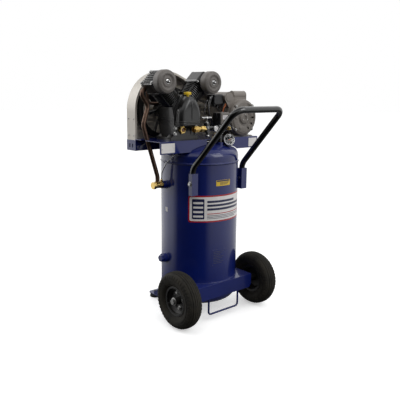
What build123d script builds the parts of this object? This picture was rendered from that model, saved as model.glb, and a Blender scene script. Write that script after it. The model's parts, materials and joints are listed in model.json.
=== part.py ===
from build123d import *
import os
from math import sin, cos, atan2, radians, sqrt, pi

os.makedirs("parts", exist_ok=True)

# ---------------------------------------------------------------- driving dimensions (mm)
TX, TY = 15.75, 72.5           # tank axis in the part's frame (origin: centre of the footprint box, on the floor)

TANK_R = 178.0                 # 14 in receiver
WALL = 3.0
SKIRT_Z0, SKIRT_Z1 = 105.0, 735.0   # knuckle starts of the two heads
SEAM_Z0, SEAM_Z1 = 129.0, 711.0     # circular weld seams
CROWN_R, KNUCKLE_R = 380.0, 40.0

WHEEL_X, WHEEL_Y = 232.5, -145.5
TYRE_R = 127.5
AXLE_R = 7.9

DECK_Z = 814.0
DECK_X0, DECK_X1 = -298.0, 275.0
DECK_Y0, DECK_Y1 = -100.0, 84.0
RAIL_Y1 = 149.0
RAIL_Z0, RAIL_Z1 = 762.0, 808.0

CRANK_X, CRANK_Z = -140.0, 936.0
CYL_Y = -15.0                  # middle plane of both cylinders
FACE_D = 58.0                  # crank axis to a cylinder's foot
CYL_TOP = 142.0
HEAD_D0, HEAD_D1 = 146.0, 195.0
BORE_R = 27.5
SIGHT = (-163.0, 858.5)         # oil sight glass, x z
OIL_Y = -81.0
THROW, ROD_L = 20.0, 92.0

FLY_R = 124.0
BELT_Y = 113.0
BELT_RF, BELT_RM = 118.5, 39.5  # belt centre line radii, 3 to 1
MOTOR_X, MOTOR_Z, MOTOR_R = 196.0, 901.0, 84.0

MAN_Y, MAN_Z = -112.0, 861.0    # outlet manifold axis
HANDLE_R = 13.0
HANDLE_X = 148.0
PIPE_Y = 22.0
C45 = 0.70710678


# ---------------------------------------------------------------- planes placed from the tank axis
def PZ(z, x=0.0, y=0.0):
    return Plane(origin=(x + TX, y + TY, z), x_dir=(1, 0, 0), z_dir=(0, 0, 1))


def PX(x):
    # local (u, v) = (y, z), extrudes towards +X
    return Plane(origin=(x + TX, TY, 0), x_dir=(0, 1, 0), z_dir=(1, 0, 0))


def PY(y):
    # local (u, v) = (x, z), extrudes towards -Y
    return Plane(origin=(TX, y + TY, 0), x_dir=(1, 0, 0), z_dir=(0, -1, 0))


def V(x, y, z):
    return (x + TX, y + TY, z)


def PC(side, d):
    # plane across a cylinder, d from the crank axis; local x = +Y, local y = across the cylinder
    return Plane(origin=V(CRANK_X + side * C45 * d, CYL_Y, CRANK_Z + C45 * d), x_dir=(0, 1, 0), z_dir=(side * C45, 0, C45))


def cp(side, d, w=0.0):
    # x, z of a point d along a cylinder's axis and w across it (w > 0: outwards and down)
    return (CRANK_X + side * C45 * (d + w), CRANK_Z + C45 * (d - w))


# ---------------------------------------------------------------- small feature helpers
def cyl(plane, u, v, r, h, mode=Mode.ADD):
    with BuildSketch(plane) as s:
        with Locations((u, v)):
            Circle(r)
    extrude(s.sketch, amount=h, mode=mode)


def tube(plane, u, v, r, ri, h):
    with BuildSketch(plane) as s:
        with Locations((u, v)):
            Circle(r)
            Circle(ri, mode=Mode.SUBTRACT)
    extrude(s.sketch, amount=h)


def hexa(plane, u, v, r, h, rot=0, mode=Mode.ADD):
    with BuildSketch(plane) as s:
        with Locations((u, v)):
            RegularPolygon(r, 6, rotation=rot)
    extrude(s.sketch, amount=h, mode=mode)


def block(plane, u, v, w, d, h, r=0.0, mode=Mode.ADD):
    with BuildSketch(plane) as s:
        with Locations((u, v)):
            if r > 0:
                RectangleRounded(w, d, r)
            else:
                Rectangle(w, d)
    extrude(s.sketch, amount=h, mode=mode)


def prism(plane, pts, h, mode=Mode.ADD):
    with BuildSketch(plane) as s:
        with BuildLine():
            Polyline(*pts, close=True)
        make_face()
    extrude(s.sketch, amount=h, mode=mode)


def turn(plane, pts, origin, direction, mode=Mode.ADD):
    with BuildSketch(plane) as s:
        with BuildLine():
            Polyline(*pts, close=True)
        make_face()
    revolve(s.sketch, axis=Axis(origin, direction), mode=mode)


def rod(pts, radii, r, ri=0.0):
    with BuildLine() as ln:
        FilletPolyline(*pts, radius=radii)
    w = ln.wire()
    with BuildSketch(Plane(origin=w @ 0, z_dir=w % 0)) as s:
        Circle(r)
        if ri > 0:
            Circle(ri, mode=Mode.SUBTRACT)
    sweep(s.sketch, path=w)
    return w.length


Z_AXIS_O = V(0, 0, 0)


# ---------------------------------------------------------------- receiver
def head_face(off, z0, sign, skirt):
    """Half section of a head's outline, grown by off, as a closed face down to the axis."""
    kr = TANK_R - KNUCKLE_R
    h = CROWN_R - sqrt((CROWN_R - KNUCKLE_R) ** 2 - kr ** 2)
    zc = h - CROWN_R
    b = atan2(-zc, kr)
    k, c, r = KNUCKLE_R + off, CROWN_R + off, TANK_R + off
    t = (c * cos(b), zc + c * sin(b))
    m1 = (kr + k * cos(b / 2), k * sin(b / 2))
    b2 = (b + pi / 2) / 2
    m2 = (c * cos(b2), zc + c * sin(b2))
    top = (0.0, zc + c)
    q = lambda p: (p[0], z0 + sign * p[1])
    with BuildLine() as ln:
        Line((0.0, z0 - sign * skirt), (r, z0 - sign * skirt))
        if skirt > 0:
            Line((r, z0 - sign * skirt), q((r, 0)))
        ThreePointArc(q((r, 0)), q(m1), q(t))
        ThreePointArc(q(t), q(m2), q(top))
        Line(q(top), (0.0, z0 - sign * skirt))
    return ln


def tank_solid(off):
    """The receiver's outer volume, grown by off, for trimming what stands on it."""
    with BuildPart(mode=Mode.PRIVATE) as b:
        for z0, sg in ((SKIRT_Z1, 1), (SKIRT_Z0, -1)):
            ln = head_face(off, z0, sg, 0.0)
            with BuildSketch(PY(0)) as s:
                with BuildLine():
                    add(ln.line)
                make_face()
            revolve(s.sketch, axis=Axis(Z_AXIS_O, (0, 0, 1)))
        cyl(PZ(SKIRT_Z0), 0, 0, TANK_R + off, SKIRT_Z1 - SKIRT_Z0)
        for zs in (SEAM_Z0, SEAM_Z1):
            cyl(PZ(zs - 5.2), 0, 0, TANK_R + 2.05 + off, 10.4)
    return b.part


TANK0 = tank_solid(0.0)
TANK2 = tank_solid(2.0)

PORT_Z = (611.0, 269.0)
RISER_X, RISER_Y = 22.0, MAN_Y
GAUGE_X, GAUGE_Y = 66.0, -90.0

with BuildPart() as tank_shell:
    tube(PZ(SEAM_Z0), 0, 0, TANK_R, TANK_R - WALL, SEAM_Z1 - SEAM_Z0)
    cyl(PX(-202), PIPE_Y, PORT_Z[0], 17.0, 60, mode=Mode.SUBTRACT)
    cyl(PX(-202), PIPE_Y + 2, PORT_Z[1], 21.0, 60, mode=Mode.SUBTRACT)


def make_head(z0, sg):
    o = head_face(0.0, z0, sg, 24.0)
    i = head_face(-WALL, z0, sg, 26.0)
    with BuildSketch(PY(0)) as s:
        with BuildLine():
            add(o.line)
        make_face()
    revolve(s.sketch, axis=Axis(Z_AXIS_O, (0, 0, 1)))
    with BuildSketch(PY(0)) as s2:
        with BuildLine():
            add(i.line)
        make_face()
    revolve(s2.sketch, axis=Axis(Z_AXIS_O, (0, 0, 1)), mode=Mode.SUBTRACT)
    # circular weld bead over the seam
    zs = z0 - sg * 24.0
    turn(PY(0), [(TANK_R, zs - 5), (TANK_R + 2.0, zs - 2.5), (TANK_R + 2.0, zs + 2.5), (TANK_R, zs + 5)], Z_AXIS_O, (0, 0, 1))


with BuildPart() as tank_top_head:
    make_head(SKIRT_Z1, 1)
    cyl(PZ(760), RISER_X, RISER_Y, 15.0, 60, mode=Mode.SUBTRACT)
    cyl(PZ(760), GAUGE_X, GAUGE_Y, 9.0, 60, mode=Mode.SUBTRACT)

with BuildPart() as tank_bottom_head:
    make_head(SKIRT_Z0, -1)
    cyl(PZ(20), 0, 0, 14.0, 60, mode=Mode.SUBTRACT)

# welded half couplings, and the plug in the lower side port
with BuildPart() as port_bosses:
    tube(PX(-200), PIPE_Y, PORT_Z[0], 17.0, 10.0, 28)
    tube(PX(-198), PIPE_Y + 2, PORT_Z[1], 21.0, 12.0, 26)
    tube(PZ(779), RISER_X, RISER_Y, 15.0, 10.5, 20)
    tube(PZ(781), GAUGE_X, GAUGE_Y, 9.0, 5.0, 16)
    tube(PZ(27), 0, 0, 14.0, 7.0, 16)
    hexa(PX(-211), PIPE_Y + 2, PORT_Z[1], 16.0, 13)
    cyl(PX(-198), PIPE_Y + 2, PORT_Z[1], 12.0, 22)


# drain cock under the receiver: body, and its winged key on a cross bore
with BuildPart() as drain_valve_body:
    cyl(PZ(20), 0, 0, 7.0, 20)
    hexa(PZ(20), 0, 0, 11.0, 6.9)
    tube(PX(-13), 0, 17.5, 6.5, 3.05, 26)
    cyl(PZ(11), 0, 0, 4.0, 2.0)
    with BuildSketch(PZ(11)) as s:
        Circle(5.0)
    extrude(s.sketch, amount=9)
    cyl(PX(-14), 0, 17.5, 3.05, 30, mode=Mode.SUBTRACT)

with BuildPart() as drain_valve_key:
    cyl(PX(-13), 0, 17.5, 3.0, 32)
    block(PX(15), 0, 17.5, 22, 5, 4, r=2.0)

# ---------------------------------------------------------------- axle bracket, hoop, rear feet
with BuildPart() as axle_bracket:
    with BuildSketch(PY(-184)) as s:
        with BuildLine():
            Polyline((-172, 171), (172, 171), (172, 120), (160, 105), (-160, 105), (-172, 120), close=True)
        make_face()
    extrude(s.sketch, amount=3)
    block(PZ(168), 0, -137, 344, 100, 3)
    for sx in (-1, 1):
        prism(PX(169 if sx > 0 else -172), [(-187, 171), (-187, 120), (-170, 105), (-118, 100), (-100, 120), (-100, 171)], 3)
        prism(PX(125 if sx > 0 else -128), [(-187, 171), (-187, 105), (-118, 105), (-118, 171)], 3)
    add(TANK0, mode=Mode.SUBTRACT)
    for sx in (-1, 1):
        cyl(PX(120 if sx > 0 else -176), WHEEL_Y, TYRE_R, AXLE_R, 56, mode=Mode.SUBTRACT)

with BuildPart() as axle_bolts:
    for sx in (-1, 1):
        cyl(PX(124 if sx > 0 else -263), WHEEL_Y, TYRE_R, AXLE_R, 139)
        hexa(PX(263) if sx > 0 else PX(-272), WHEEL_Y, TYRE_R, 12.5, 9)
        tube(PX(172) if sx > 0 else PX(-199), WHEEL_Y, TYRE_R, 13.0, AXLE_R, 27)

with BuildPart() as front_hoop:
    HOOP_PTS = [V(-90, -179.5, 150), V(-90, -179.5, 30), V(90, -179.5, 30), V(90, -179.5, 150)]
    hoop_len = rod(HOOP_PTS, [14, 14], 4.5)
    print("front_hoop", round(front_hoop.part.volume / (pi * 4.5 ** 2 * hoop_len), 4))

FOOT = ((-104.0, 216.0), (104.0, 216.0))
with BuildPart() as rear_foot_bracket:
    block(PZ(22), 0, 195, 262, 82, 4, r=14)
    for sx in (-1, 1):
        prism(PX(sx * 104 - 2 + sx * 24), [(118, 25.5), (118, 78), (130, 78), (188, 36), (188, 25.5)], 4)
    add(TANK0, mode=Mode.SUBTRACT)
    for fx, fy in FOOT:
        cyl(PZ(20), fx, fy, 4.2, 10, mode=Mode.SUBTRACT)

with BuildPart() as rubber_feet:
    for fx, fy in FOOT:
        turn(PY(fy), [(fx + 4.2, 9), (fx + 9, 9), (fx + 9, 0), (fx + 23, 0), (fx + 25, 2), (fx + 25, 7), (fx + 20, 19), (fx + 17, 22), (fx + 4.2, 22)],
             V(fx, fy, 0), (0, 0, 1))


# ---------------------------------------------------------------- wheels
def wheel_parts(sx):
    cx = sx * WHEEL_X
    ax_o = V(0, WHEEL_Y, TYRE_R)
    z0 = TYRE_R
    with BuildPart() as tyre:
        with BuildSketch(PY(WHEEL_Y)) as s:
            with BuildLine():
                Line((cx - 21.8, z0 + 60), (cx - 21.8, z0 + 67))
                ThreePointArc((cx - 21.8, z0 + 67), (cx - 37, z0 + 94), (cx - 27, z0 + 120))
                ThreePointArc((cx - 27, z0 + 120), (cx, z0 + TYRE_R), (cx + 27, z0 + 120))
                ThreePointArc((cx + 27, z0 + 120), (cx + 37, z0 + 94), (cx + 21.8, z0 + 67))
                Line((cx + 21.8, z0 + 67), (cx + 21.8, z0 + 60))
                Line((cx + 21.8, z0 + 60), (cx + 13, z0 + 60))
                Line((cx + 13, z0 + 60), (cx + 13, z0 + 68))
                ThreePointArc((cx + 13, z0 + 68), (cx + 30, z0 + 94), (cx + 18, z0 + 114))
                ThreePointArc((cx + 18, z0 + 114), (cx, z0 + 119), (cx - 18, z0 + 114))
                ThreePointArc((cx - 18, z0 + 114), (cx - 30, z0 + 94), (cx - 13, z0 + 68))
                Line((cx - 13, z0 + 68), (cx - 13, z0 + 60))
                Line((cx - 13, z0 + 60), (cx - 21.8, z0 + 60))
            make_face()
        revolve(s.sketch, axis=Axis(ax_o, (1, 0, 0)))
        # circumferential tread grooves
        for g in (-20, -10, 0, 10, 20):
            turn(PY(WHEEL_Y), [(cx + g - 1.3, z0 + 121.0 - abs(g) * 0.06), (cx + g - 1.3, z0 + 130), (cx + g + 1.3, z0 + 130), (cx + g + 1.3, z0 + 121.0 - abs(g) * 0.06)],
                 ax_o, (1, 0, 0), mode=Mode.SUBTRACT)
    with BuildPart() as rim:
        f = lambda x, r: (cx + sx * x, z0 + r)
        # drop-centre barrel with its two flanges
        turn(PY(WHEEL_Y), [f(-25, 66), f(-22, 66), f(-22, 60), f(-12, 60), f(-9, 54), f(9, 54), f(12, 60), f(22, 60), f(22, 66), f(25, 66), f(25, 57), f(14, 57), f(11, 51),
                           f(-11, 51), f(-14, 57), f(-25, 57)], ax_o, (1, 0, 0))
        # dished disc and hub
        turn(PY(WHEEL_Y), [f(8, 51.5), f(11, 51.5), f(3, 44), f(3, 18), f(30, 17), f(30, 7.96), f(-33, 7.96), f(-33, 15), f(0, 17), f(0, 44.5)], ax_o, (1, 0, 0))
        for k in range(4):
            a = radians(77 + 90 * k)
            hexa(PX(cx + sx * 2.5 if sx > 0 else cx + sx * 9), WHEEL_Y + 35 * cos(a), z0 + 35 * sin(a), 6.5, 6.5)
    return tyre, rim


tyre_left, rim_left = wheel_parts(-1)
tyre_right, rim_right = wheel_parts(1)

# ---------------------------------------------------------------- handle
HANDLE_PTS = [V(-HANDLE_X, -129, 585), V(-HANDLE_X, -129, 694), V(-137, -373, 951), V(137, -373, 951), V(HANDLE_X, -129, 694), V(HANDLE_X, -129, 585)]
with BuildPart() as handle_tube:
    handle_len = rod(HANDLE_PTS, [60, 44, 44, 60], HANDLE_R, HANDLE_R - 2.0)
    print("handle_tube", round(handle_tube.part.volume / (pi * (HANDLE_R ** 2 - (HANDLE_R - 2) ** 2) * handle_len), 4))
    cyl(PX(-200), -131.5, 631, 4.0, 400, mode=Mode.SUBTRACT)

with BuildPart() as handle_brackets:
    for sx in (-1, 1):
        hx = sx * HANDLE_X
        block(PZ(580), hx, -143.9, 33, 3, 95)
        # short outer cheek round the tube, long inner one welded to the receiver
        block(PZ(580), hx + sx * 15.0, -134, 3, 22.6, 95)
        block(PZ(580), hx - sx * 15.0, -104, 3, 82, 95)
        block(PZ(580), hx, -134, 33, 22.6, 3)
    add(TANK0, mode=Mode.SUBTRACT)
    cyl(PX(-200), -131.5, 631, 4.0, 400, mode=Mode.SUBTRACT)

PUMP_BOLTS = [(-207, -42), (-207, 22), (-73, -42), (-73, 22)]
MOTOR_BOLTS = [(MOTOR_X - 66, -42), (MOTOR_X - 66, 22), (MOTOR_X + 66, -42), (MOTOR_X + 66, 22)]
with BuildPart() as frame_bolts:
    for sx in (-1, 1):
        hx = sx * HANDLE_X
        # long head outside, low nut on the side next to the receiver
        cyl(PX(hx - 20.5), -131.5, 631, 4.0, 41)
        hexa(PX(hx + 16.5 if sx > 0 else hx - 22.5), -131.5, 631, 7.5, 6)
        hexa(PX(hx - 20.5 if sx > 0 else hx + 16.5), -131.5, 631, 6.0, 4, rot=30)
    for fx, fy in FOOT:
        cyl(PZ(8.9), fx, fy, 4.0, 26)
        hexa(PZ(3.5), fx, fy, 7.5, 5.5)
        hexa(PZ(26), fx, fy, 7.5, 6)
    for bx, by in PUMP_BOLTS:
        cyl(PZ(803), bx, by, 4.0, 25)
        hexa(PZ(826), bx, by, 7.5, 6)
        hexa(PZ(805), bx, by, 7.5, 6)
    for bx, by in MOTOR_BOLTS:
        cyl(PZ(803), bx, by, 4.0, 16)
        hexa(PZ(817), bx, by, 7.5, 5)
        hexa(PZ(805), bx, by, 7.5, 6)

# ---------------------------------------------------------------- deck
with BuildPart() as deck_plate:
    dw, dd = DECK_X1 - DECK_X0, DECK_Y1 - DECK_Y0
    dcx, dcy = (DECK_X1 + DECK_X0) / 2, (DECK_Y1 + DECK_Y0) / 2
    block(PZ(DECK_Z - 3), dcx, dcy, dw, dd, 3)
    # front flange in two lengths, open in the middle for the fittings on the receiver's crown
    block(PZ(762), (DECK_X0 - 44) / 2, DECK_Y0 + 1.5, -44 - DECK_X0, 3, 50)
    block(PZ(762), (95 + DECK_X1) / 2, DECK_Y0 + 1.5, DECK_X1 - 95, 3, 50)
    # rear flange
    block(PZ(765), dcx, DECK_Y1 - 1.5, dw, 3, 47)
    add(TANK2, mode=Mode.SUBTRACT)
    # notch for the discharge pipe in the open left end
    with BuildSketch(PZ(DECK_Z - 5)) as s:
        with Locations((-285, PIPE_Y)):
            RectangleRounded(62, 32, 12)
    extrude(s.sketch, amount=8, mode=Mode.SUBTRACT)
    cyl(PZ(DECK_Z - 5), 56, -72, 5.0, 8, mode=Mode.SUBTRACT)
    for bx, by in PUMP_BOLTS + MOTOR_BOLTS:
        cyl(PZ(DECK_Z - 5), bx, by, 4.0, 8, mode=Mode.SUBTRACT)

with BuildPart() as guard_rail:
    block(PZ(RAIL_Z0), dcx, (DECK_Y1 + RAIL_Y1) / 2, dw, RAIL_Y1 - DECK_Y1, RAIL_Z1 - RAIL_Z0)
    block(PZ(RAIL_Z0 - 1), dcx, (DECK_Y1 + RAIL_Y1) / 2, dw - 5, RAIL_Y1 - DECK_Y1 - 5, RAIL_Z1 - RAIL_Z0 - 1.5, mode=Mode.SUBTRACT)
    add(TANK2, mode=Mode.SUBTRACT)
    # slots in the left end plate
    for yy in (104, 126):
        block(PX(DECK_X0 - 1), yy, 784, 7, 18, 5, r=3.0, mode=Mode.SUBTRACT)

with BuildPart() as deck_supports:
    for xx in (-86.5, 83.5):
        block(PX(xx), -4, 740, 158, 142, 3)
    add(TANK0, mode=Mode.SUBTRACT)
    with BuildSketch(PZ(700)) as s:
        with Locations((0, 0)):
            Rectangle(400, 400)
    extrude(s.sketch, amount=78, mode=Mode.SUBTRACT)

# ---------------------------------------------------------------- belt guard
G1, GR1 = (-124.0, 934.0), 172.0
G2, GR2 = (196.0, 900.0), 78.0
GX0, GX1 = G1[0] - GR1, G2[0] + GR2
g_d = sqrt((G2[0] - G1[0]) ** 2 + (G2[1] - G1[1]) ** 2)
g_a = atan2(G2[1] - G1[1], G2[0] - G1[0]) + atan2(sqrt(g_d ** 2 - (GR1 - GR2) ** 2), GR1 - GR2)


def guard_outline(off, z0):
    r1, r2 = GR1 - off, GR2 - off
    t1 = (G1[0] + r1 * cos(g_a), G1[1] + r1 * sin(g_a))
    t2 = (G2[0] + r2 * cos(g_a), G2[1] + r2 * sin(g_a))
    am1, am2 = (g_a + pi) / 2, g_a / 2
    with BuildLine() as ln:
        Line((GX0 + off, z0), (GX0 + off, G1[1]))
        ThreePointArc((GX0 + off, G1[1]), (G1[0] + r1 * cos(am1), G1[1] + r1 * sin(am1)), t1)
        Line(t1, t2)
        ThreePointArc(t2, (G2[0] + r2 * cos(am2), G2[1] + r2 * sin(am2)), (GX1 - off, G2[1]))
        Line((GX1 - off, G2[1]), (GX1 - off, z0))
        Line((GX1 - off, z0), (GX0 + off, z0))
    return ln


with BuildPart() as belt_guard_band:
    o, i, lip = guard_outline(0.0, RAIL_Z1), guard_outline(1.6, RAIL_Z1 - 5), guard_outline(9.0, RAIL_Z1 - 5)
    with BuildSketch(PY(RAIL_Y1)) as s:
        with BuildLine():
            add(o.line)
        make_face()
    extrude(s.sketch, amount=RAIL_Y1 - DECK_Y1)
    with BuildSketch(PY(RAIL_Y1 + 1)) as s2:
        with BuildLine():
            add(i.line)
        make_face()
    extrude(s2.sketch, amount=RAIL_Y1 - DECK_Y1 + 1 - 1.6, mode=Mode.SUBTRACT)
    # narrow turned-in lip at the open side
    with BuildSketch(PY(DECK_Y1 + 5)) as s3:
        with BuildLine():
            add(lip.line)
        make_face()
    extrude(s3.sketch, amount=10, mode=Mode.SUBTRACT)

with BuildPart() as belt_guard_panel:
    i = guard_outline(1.6, RAIL_Z1)
    with BuildSketch(PY(RAIL_Y1)) as s:
        with BuildLine():
            add(i.line)
        make_face()
    extrude(s.sketch, amount=1.6)
    # louvre slots
    rows = []
    for k in range(12):
        zz = 842.0 + 20.0 * k
        if zz < 934:
            x0, x1 = -276.0, 252.0
        else:
            half = sqrt(max(0.0, 150.0 ** 2 - (zz - 934.0) ** 2))
            x0 = -124.0 - half
            x1 = min(250.0, (1070.0 - zz) / 0.4255 - 40.0)
        if x1 - x0 > 60:
            n = max(1, int((x1 - x0) // 130))
            w = (x1 - x0 - 14.0 * (n - 1)) / n
            for j in range(n):
                rows.append((x0 + w / 2 + j * (w + 14.0), zz, w))
    with BuildSketch(PY(RAIL_Y1 + 1)) as s2:
        for cx_, zz, w in rows:
            with Locations((cx_, zz)):
                SlotOverall(w, 4.2)
    extrude(s2.sketch, amount=4, mode=Mode.SUBTRACT)

# ---------------------------------------------------------------- belt drive
with BuildPart() as drive_belt:
    for dr, md in ((4.0, Mode.ADD), (-4.0, Mode.SUBTRACT)):
        with BuildSketch(PY(BELT_Y + 5)) as s:
            with Locations((CRANK_X, CRANK_Z)):
                Circle(BELT_RF + dr)
            with Locations((MOTOR_X, MOTOR_Z)):
                Circle(BELT_RM + dr)
            make_hull()
        extrude(s.sketch, amount=10, mode=md)

CR_O = V(CRANK_X, 0, CRANK_Z)
with BuildPart() as flywheel:
    f = lambda r, y: (CRANK_X + r, y)
    turn(PZ(CRANK_Z), [f(104, 97), f(FLY_R, 97), f(FLY_R, 107.5), f(113.5, 107.5), f(113.5, 118.5), f(FLY_R, 118.5), f(FLY_R, 130), f(104, 130)], CR_O, (0, 1, 0))
    turn(PZ(CRANK_Z), [f(12.5, 92), f(28, 92), f(30, 95), f(30, 130), f(12.5, 130)], CR_O, (0, 1, 0))
    for k in range(6):
        a = 60.0 * k + 12.0
        pl = Plane(origin=V(CRANK_X + 26 * cos(radians(a)), BELT_Y, CRANK_Z + 26 * sin(radians(a))),
                   x_dir=(0, 1, 0), z_dir=(cos(radians(a)), 0, sin(radians(a))))
        with BuildSketch(pl) as s:
            RectangleRounded(25, 9, 3.5, rotation=32)
        extrude(s.sketch, amount=80)

PIN = (CRANK_X, CRANK_Z + THROW)
with BuildPart() as crankshaft:
    cyl(PY(134), CRANK_X, CRANK_Z, 12.5, 134 - 9)
    cyl(PY(-39), CRANK_X, CRANK_Z, 12.5, 33)
    cyl(PY(-3), PIN[0], PIN[1], 11.0, 24)
    for y1 in (9, -27):
        with BuildSketch(PY(y1)) as s:
            with Locations((CRANK_X, CRANK_Z)):
                Circle(23)
            with Locations(PIN):
                Circle(15)
            make_hull()
            with Locations((CRANK_X, CRANK_Z - 8)):
                Circle(42)
        extrude(s.sketch, amount=12)
    # counterweights keep only their lower halves
    for y1 in (10, -26):
        for sx in (-1, 1):
            prism(PY(y1), [(CRANK_X + sx * 24, CRANK_Z), (CRANK_X + sx * 60, CRANK_Z), (CRANK_X + sx * 60, CRANK_Z + 60), (CRANK_X + sx * 17, CRANK_Z + 60), (CRANK_X + sx * 17, CRANK_Z + 22)], 14,
                  mode=Mode.SUBTRACT)

# ---------------------------------------------------------------- pump
CASE = [(-215, 814), (-65, 814), (-65, 826), (-82, 832), (-78, 880), (-75, 953), (-126, 1004), (-154, 1004), (-205, 953), (-202, 880), (-198, 832), (-215, 826)]
with BuildPart() as crankcase:
    prism(PY(40), CASE, 105)
    cyl(PY(30), CRANK_X, CRANK_Z, 54.0, 100, mode=Mode.SUBTRACT)
    block(PY(30), CRANK_X, 868, 84, 60, 100, r=8, mode=Mode.SUBTRACT)
    cyl(PY(45), CRANK_X, CRANK_Z, 22.0, 30, mode=Mode.SUBTRACT)
    for side in (-1, 1):
        cyl(PC(side, 20), 0, 0, BORE_R + 2.5, 60, mode=Mode.SUBTRACT)
    for bx, by in PUMP_BOLTS:
        cyl(PZ(805), bx, by, 4.0, 30, mode=Mode.SUBTRACT)
        # spot face under each foot bolt's head
        cyl(PZ(826), bx, by, 8.6, 14, mode=Mode.SUBTRACT)

# front cover: an arched flange and a deep bell with rounded shoulders, open towards the crankcase
def arch(pl, a, zb, zs, zm, am, zt, at, h, mode=Mode.ADD):
    cx = CRANK_X
    with BuildSketch(pl) as s:
        with BuildLine():
            Line((cx - a, zb), (cx - a, zs))
            ThreePointArc((cx - a, zs), (cx - am, zm), (cx - at, zt))
            Line((cx - at, zt), (cx + at, zt))
            ThreePointArc((cx + at, zt), (cx + am, zm), (cx + a, zs))
            Line((cx + a, zs), (cx + a, zb))
            Line((cx + a, zb), (cx - a, zb))
        make_face()
    extrude(s.sketch, amount=h, mode=mode)


with BuildPart() as crankcase_cover:
    arch(PY(-70), 58, 878, 908, 962, 45, 998, 16, 43)
    front = crankcase_cover.faces().sort_by(Axis.Y)[0].edges().filter_by(lambda e: e.center().Z > 0.879 * 1000)
    fillet(front, 22)
    arch(PY(-65), 64, 832, 905, 962, 51, 1003, 21, 6)
    arch(PY(-60), 49, 886, 902, 954, 37, 981, 10, 39, mode=Mode.SUBTRACT)
    # bearing boss on its web
    cyl(PY(-65), CRANK_X, CRANK_Z, 30.0, 18)
    block(PY(-65), CRANK_X, CRANK_Z, 102, 10, 36)
    cyl(PY(-60), CRANK_X, CRANK_Z, 22.0, 15, mode=Mode.SUBTRACT)
    cyl(PY(-60), SIGHT[0], SIGHT[1], 11.0, 30, mode=Mode.SUBTRACT)
    cyl(PZ(980), CRANK_X, OIL_Y, 7.0, 40, mode=Mode.SUBTRACT)

with BuildPart() as crank_bearings:
    tube(PY(40), CRANK_X, CRANK_Z, 22.0, 12.55, 10)
    tube(PY(-65), CRANK_X, CRANK_Z, 22.0, 12.55, 10)


with BuildPart() as cylinders:
    for side in (-1, 1):
        # spigot, foot flange, barrel and cooling fins
        tube(PC(side, 50), 0, 0, BORE_R + 2.5, BORE_R, 8)
        with BuildSketch(PC(side, FACE_D)) as s:
            RectangleRounded(84, 70, 10)
            Circle(BORE_R, mode=Mode.SUBTRACT)
        extrude(s.sketch, amount=6)
        tube(PC(side, FACE_D), 0, 0, BORE_R + 7.5, BORE_R, CYL_TOP - FACE_D)
        for k in range(8):
            tube(PC(side, 70 + 8.6 * k), 0, 0, 44.0 if k < 7 else 46.0, BORE_R + 7, 3.0)
        with BuildSketch(PC(side, CYL_TOP - 6)) as s:
            RectangleRounded(92, 84, 12)
            Circle(BORE_R, mode=Mode.SUBTRACT)
        extrude(s.sketch, amount=6)

with BuildPart() as valve_plates:
    for side in (-1, 1):
        with BuildSketch(PC(side, CYL_TOP)) as s:
            RectangleRounded(92, 84, 12)
            with Locations((14, 0), (-14, 0)):
                Circle(6, mode=Mode.SUBTRACT)
        extrude(s.sketch, amount=HEAD_D0 - CYL_TOP)


FILTER = ((-263.0, 1057.0), (-14.0, 1057.0))
with BuildPart() as cylinder_heads:
    for side in (-1, 1):
        block(PC(side, HEAD_D0), 0, 0, 92, 84, HEAD_D1 - HEAD_D0, r=12)
        # intake and discharge chambers with a wall between them
        block(PC(side, HEAD_D0), -20, 0, 34, 62, 20, r=8, mode=Mode.SUBTRACT)
        block(PC(side, HEAD_D0), 20, 0, 34, 62, 20, r=8, mode=Mode.SUBTRACT)
        # cooling slots across the top
        for w in (-31.5, -21, -10.5, 0, 10.5, 21, 31.5):
            block(PC(side, HEAD_D1 - 17), 0, w, 100, 5.0, 20, mode=Mode.SUBTRACT)
        # bolt bosses
        for u in (-36, 36):
            for w in (-32, 32):
                cyl(PC(side, HEAD_D0), u, w, 8.0, HEAD_D1 - HEAD_D0)
        fx, fz = FILTER[0 if side < 0 else 1]
        cyl(PY(-40), fx, fz, 12.0, 40, mode=Mode.SUBTRACT)

with BuildPart() as head_bolts:
    for side in (-1, 1):
        for u in (-36, 36):
            for w in (-32, 32):
                hexa(PC(side, HEAD_D1), u, w, 6.5, 4.5)
    for bx, bz in ((-198, 842), (-198, 866), (-82, 842), (-82, 866)):
        hexa(PY(-71), bx, bz, 6.0, 5)

PIST_D = THROW * C45 + sqrt(ROD_L ** 2 - (THROW * C45) ** 2)
with BuildPart() as pistons:
    for side in (-1, 1):
        cyl(PC(side, PIST_D - 23), 0, 0, BORE_R - 0.1, 50)
        cyl(PC(side, PIST_D - 24), 0, 0, BORE_R - 4, 40, mode=Mode.SUBTRACT)
        px_, pz_ = cp(side, PIST_D)
        cyl(PY(CYL_Y + 26.5), px_, pz_, 6.0, 53)

with BuildPart() as connecting_rods:
    for side in (-1, 1):
        px_, pz_ = cp(side, PIST_D)
        y1 = CYL_Y + (11 if side < 0 else -1)
        with BuildSketch(PY(y1)) as s:
            with Locations((px_, pz_)):
                Circle(6.5)
            with Locations(PIN):
                Circle(9)
            make_hull()
            with Locations((px_, pz_)):
                Circle(10)
            with Locations(PIN):
                Circle(17)
            with Locations((px_, pz_)):
                Circle(6.0, mode=Mode.SUBTRACT)
            with Locations(PIN):
                Circle(11.05, mode=Mode.SUBTRACT)
        extrude(s.sketch, amount=10)

with BuildPart() as filter_bases:
    for fx, fz in FILTER:
        cyl(PY(-61), fx, fz, 15.0, 7)
        with BuildSketch(PY(-68)) as s:
            with Locations((fx, fz)):
                Circle(47)
                Circle(20, mode=Mode.SUBTRACT)
        extrude(s.sketch, amount=4)
        tube(PY(-66), fx, fz, 22.0, 8.0, 6)
        cyl(PY(-70), fx, fz, 3.0, 46)

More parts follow.
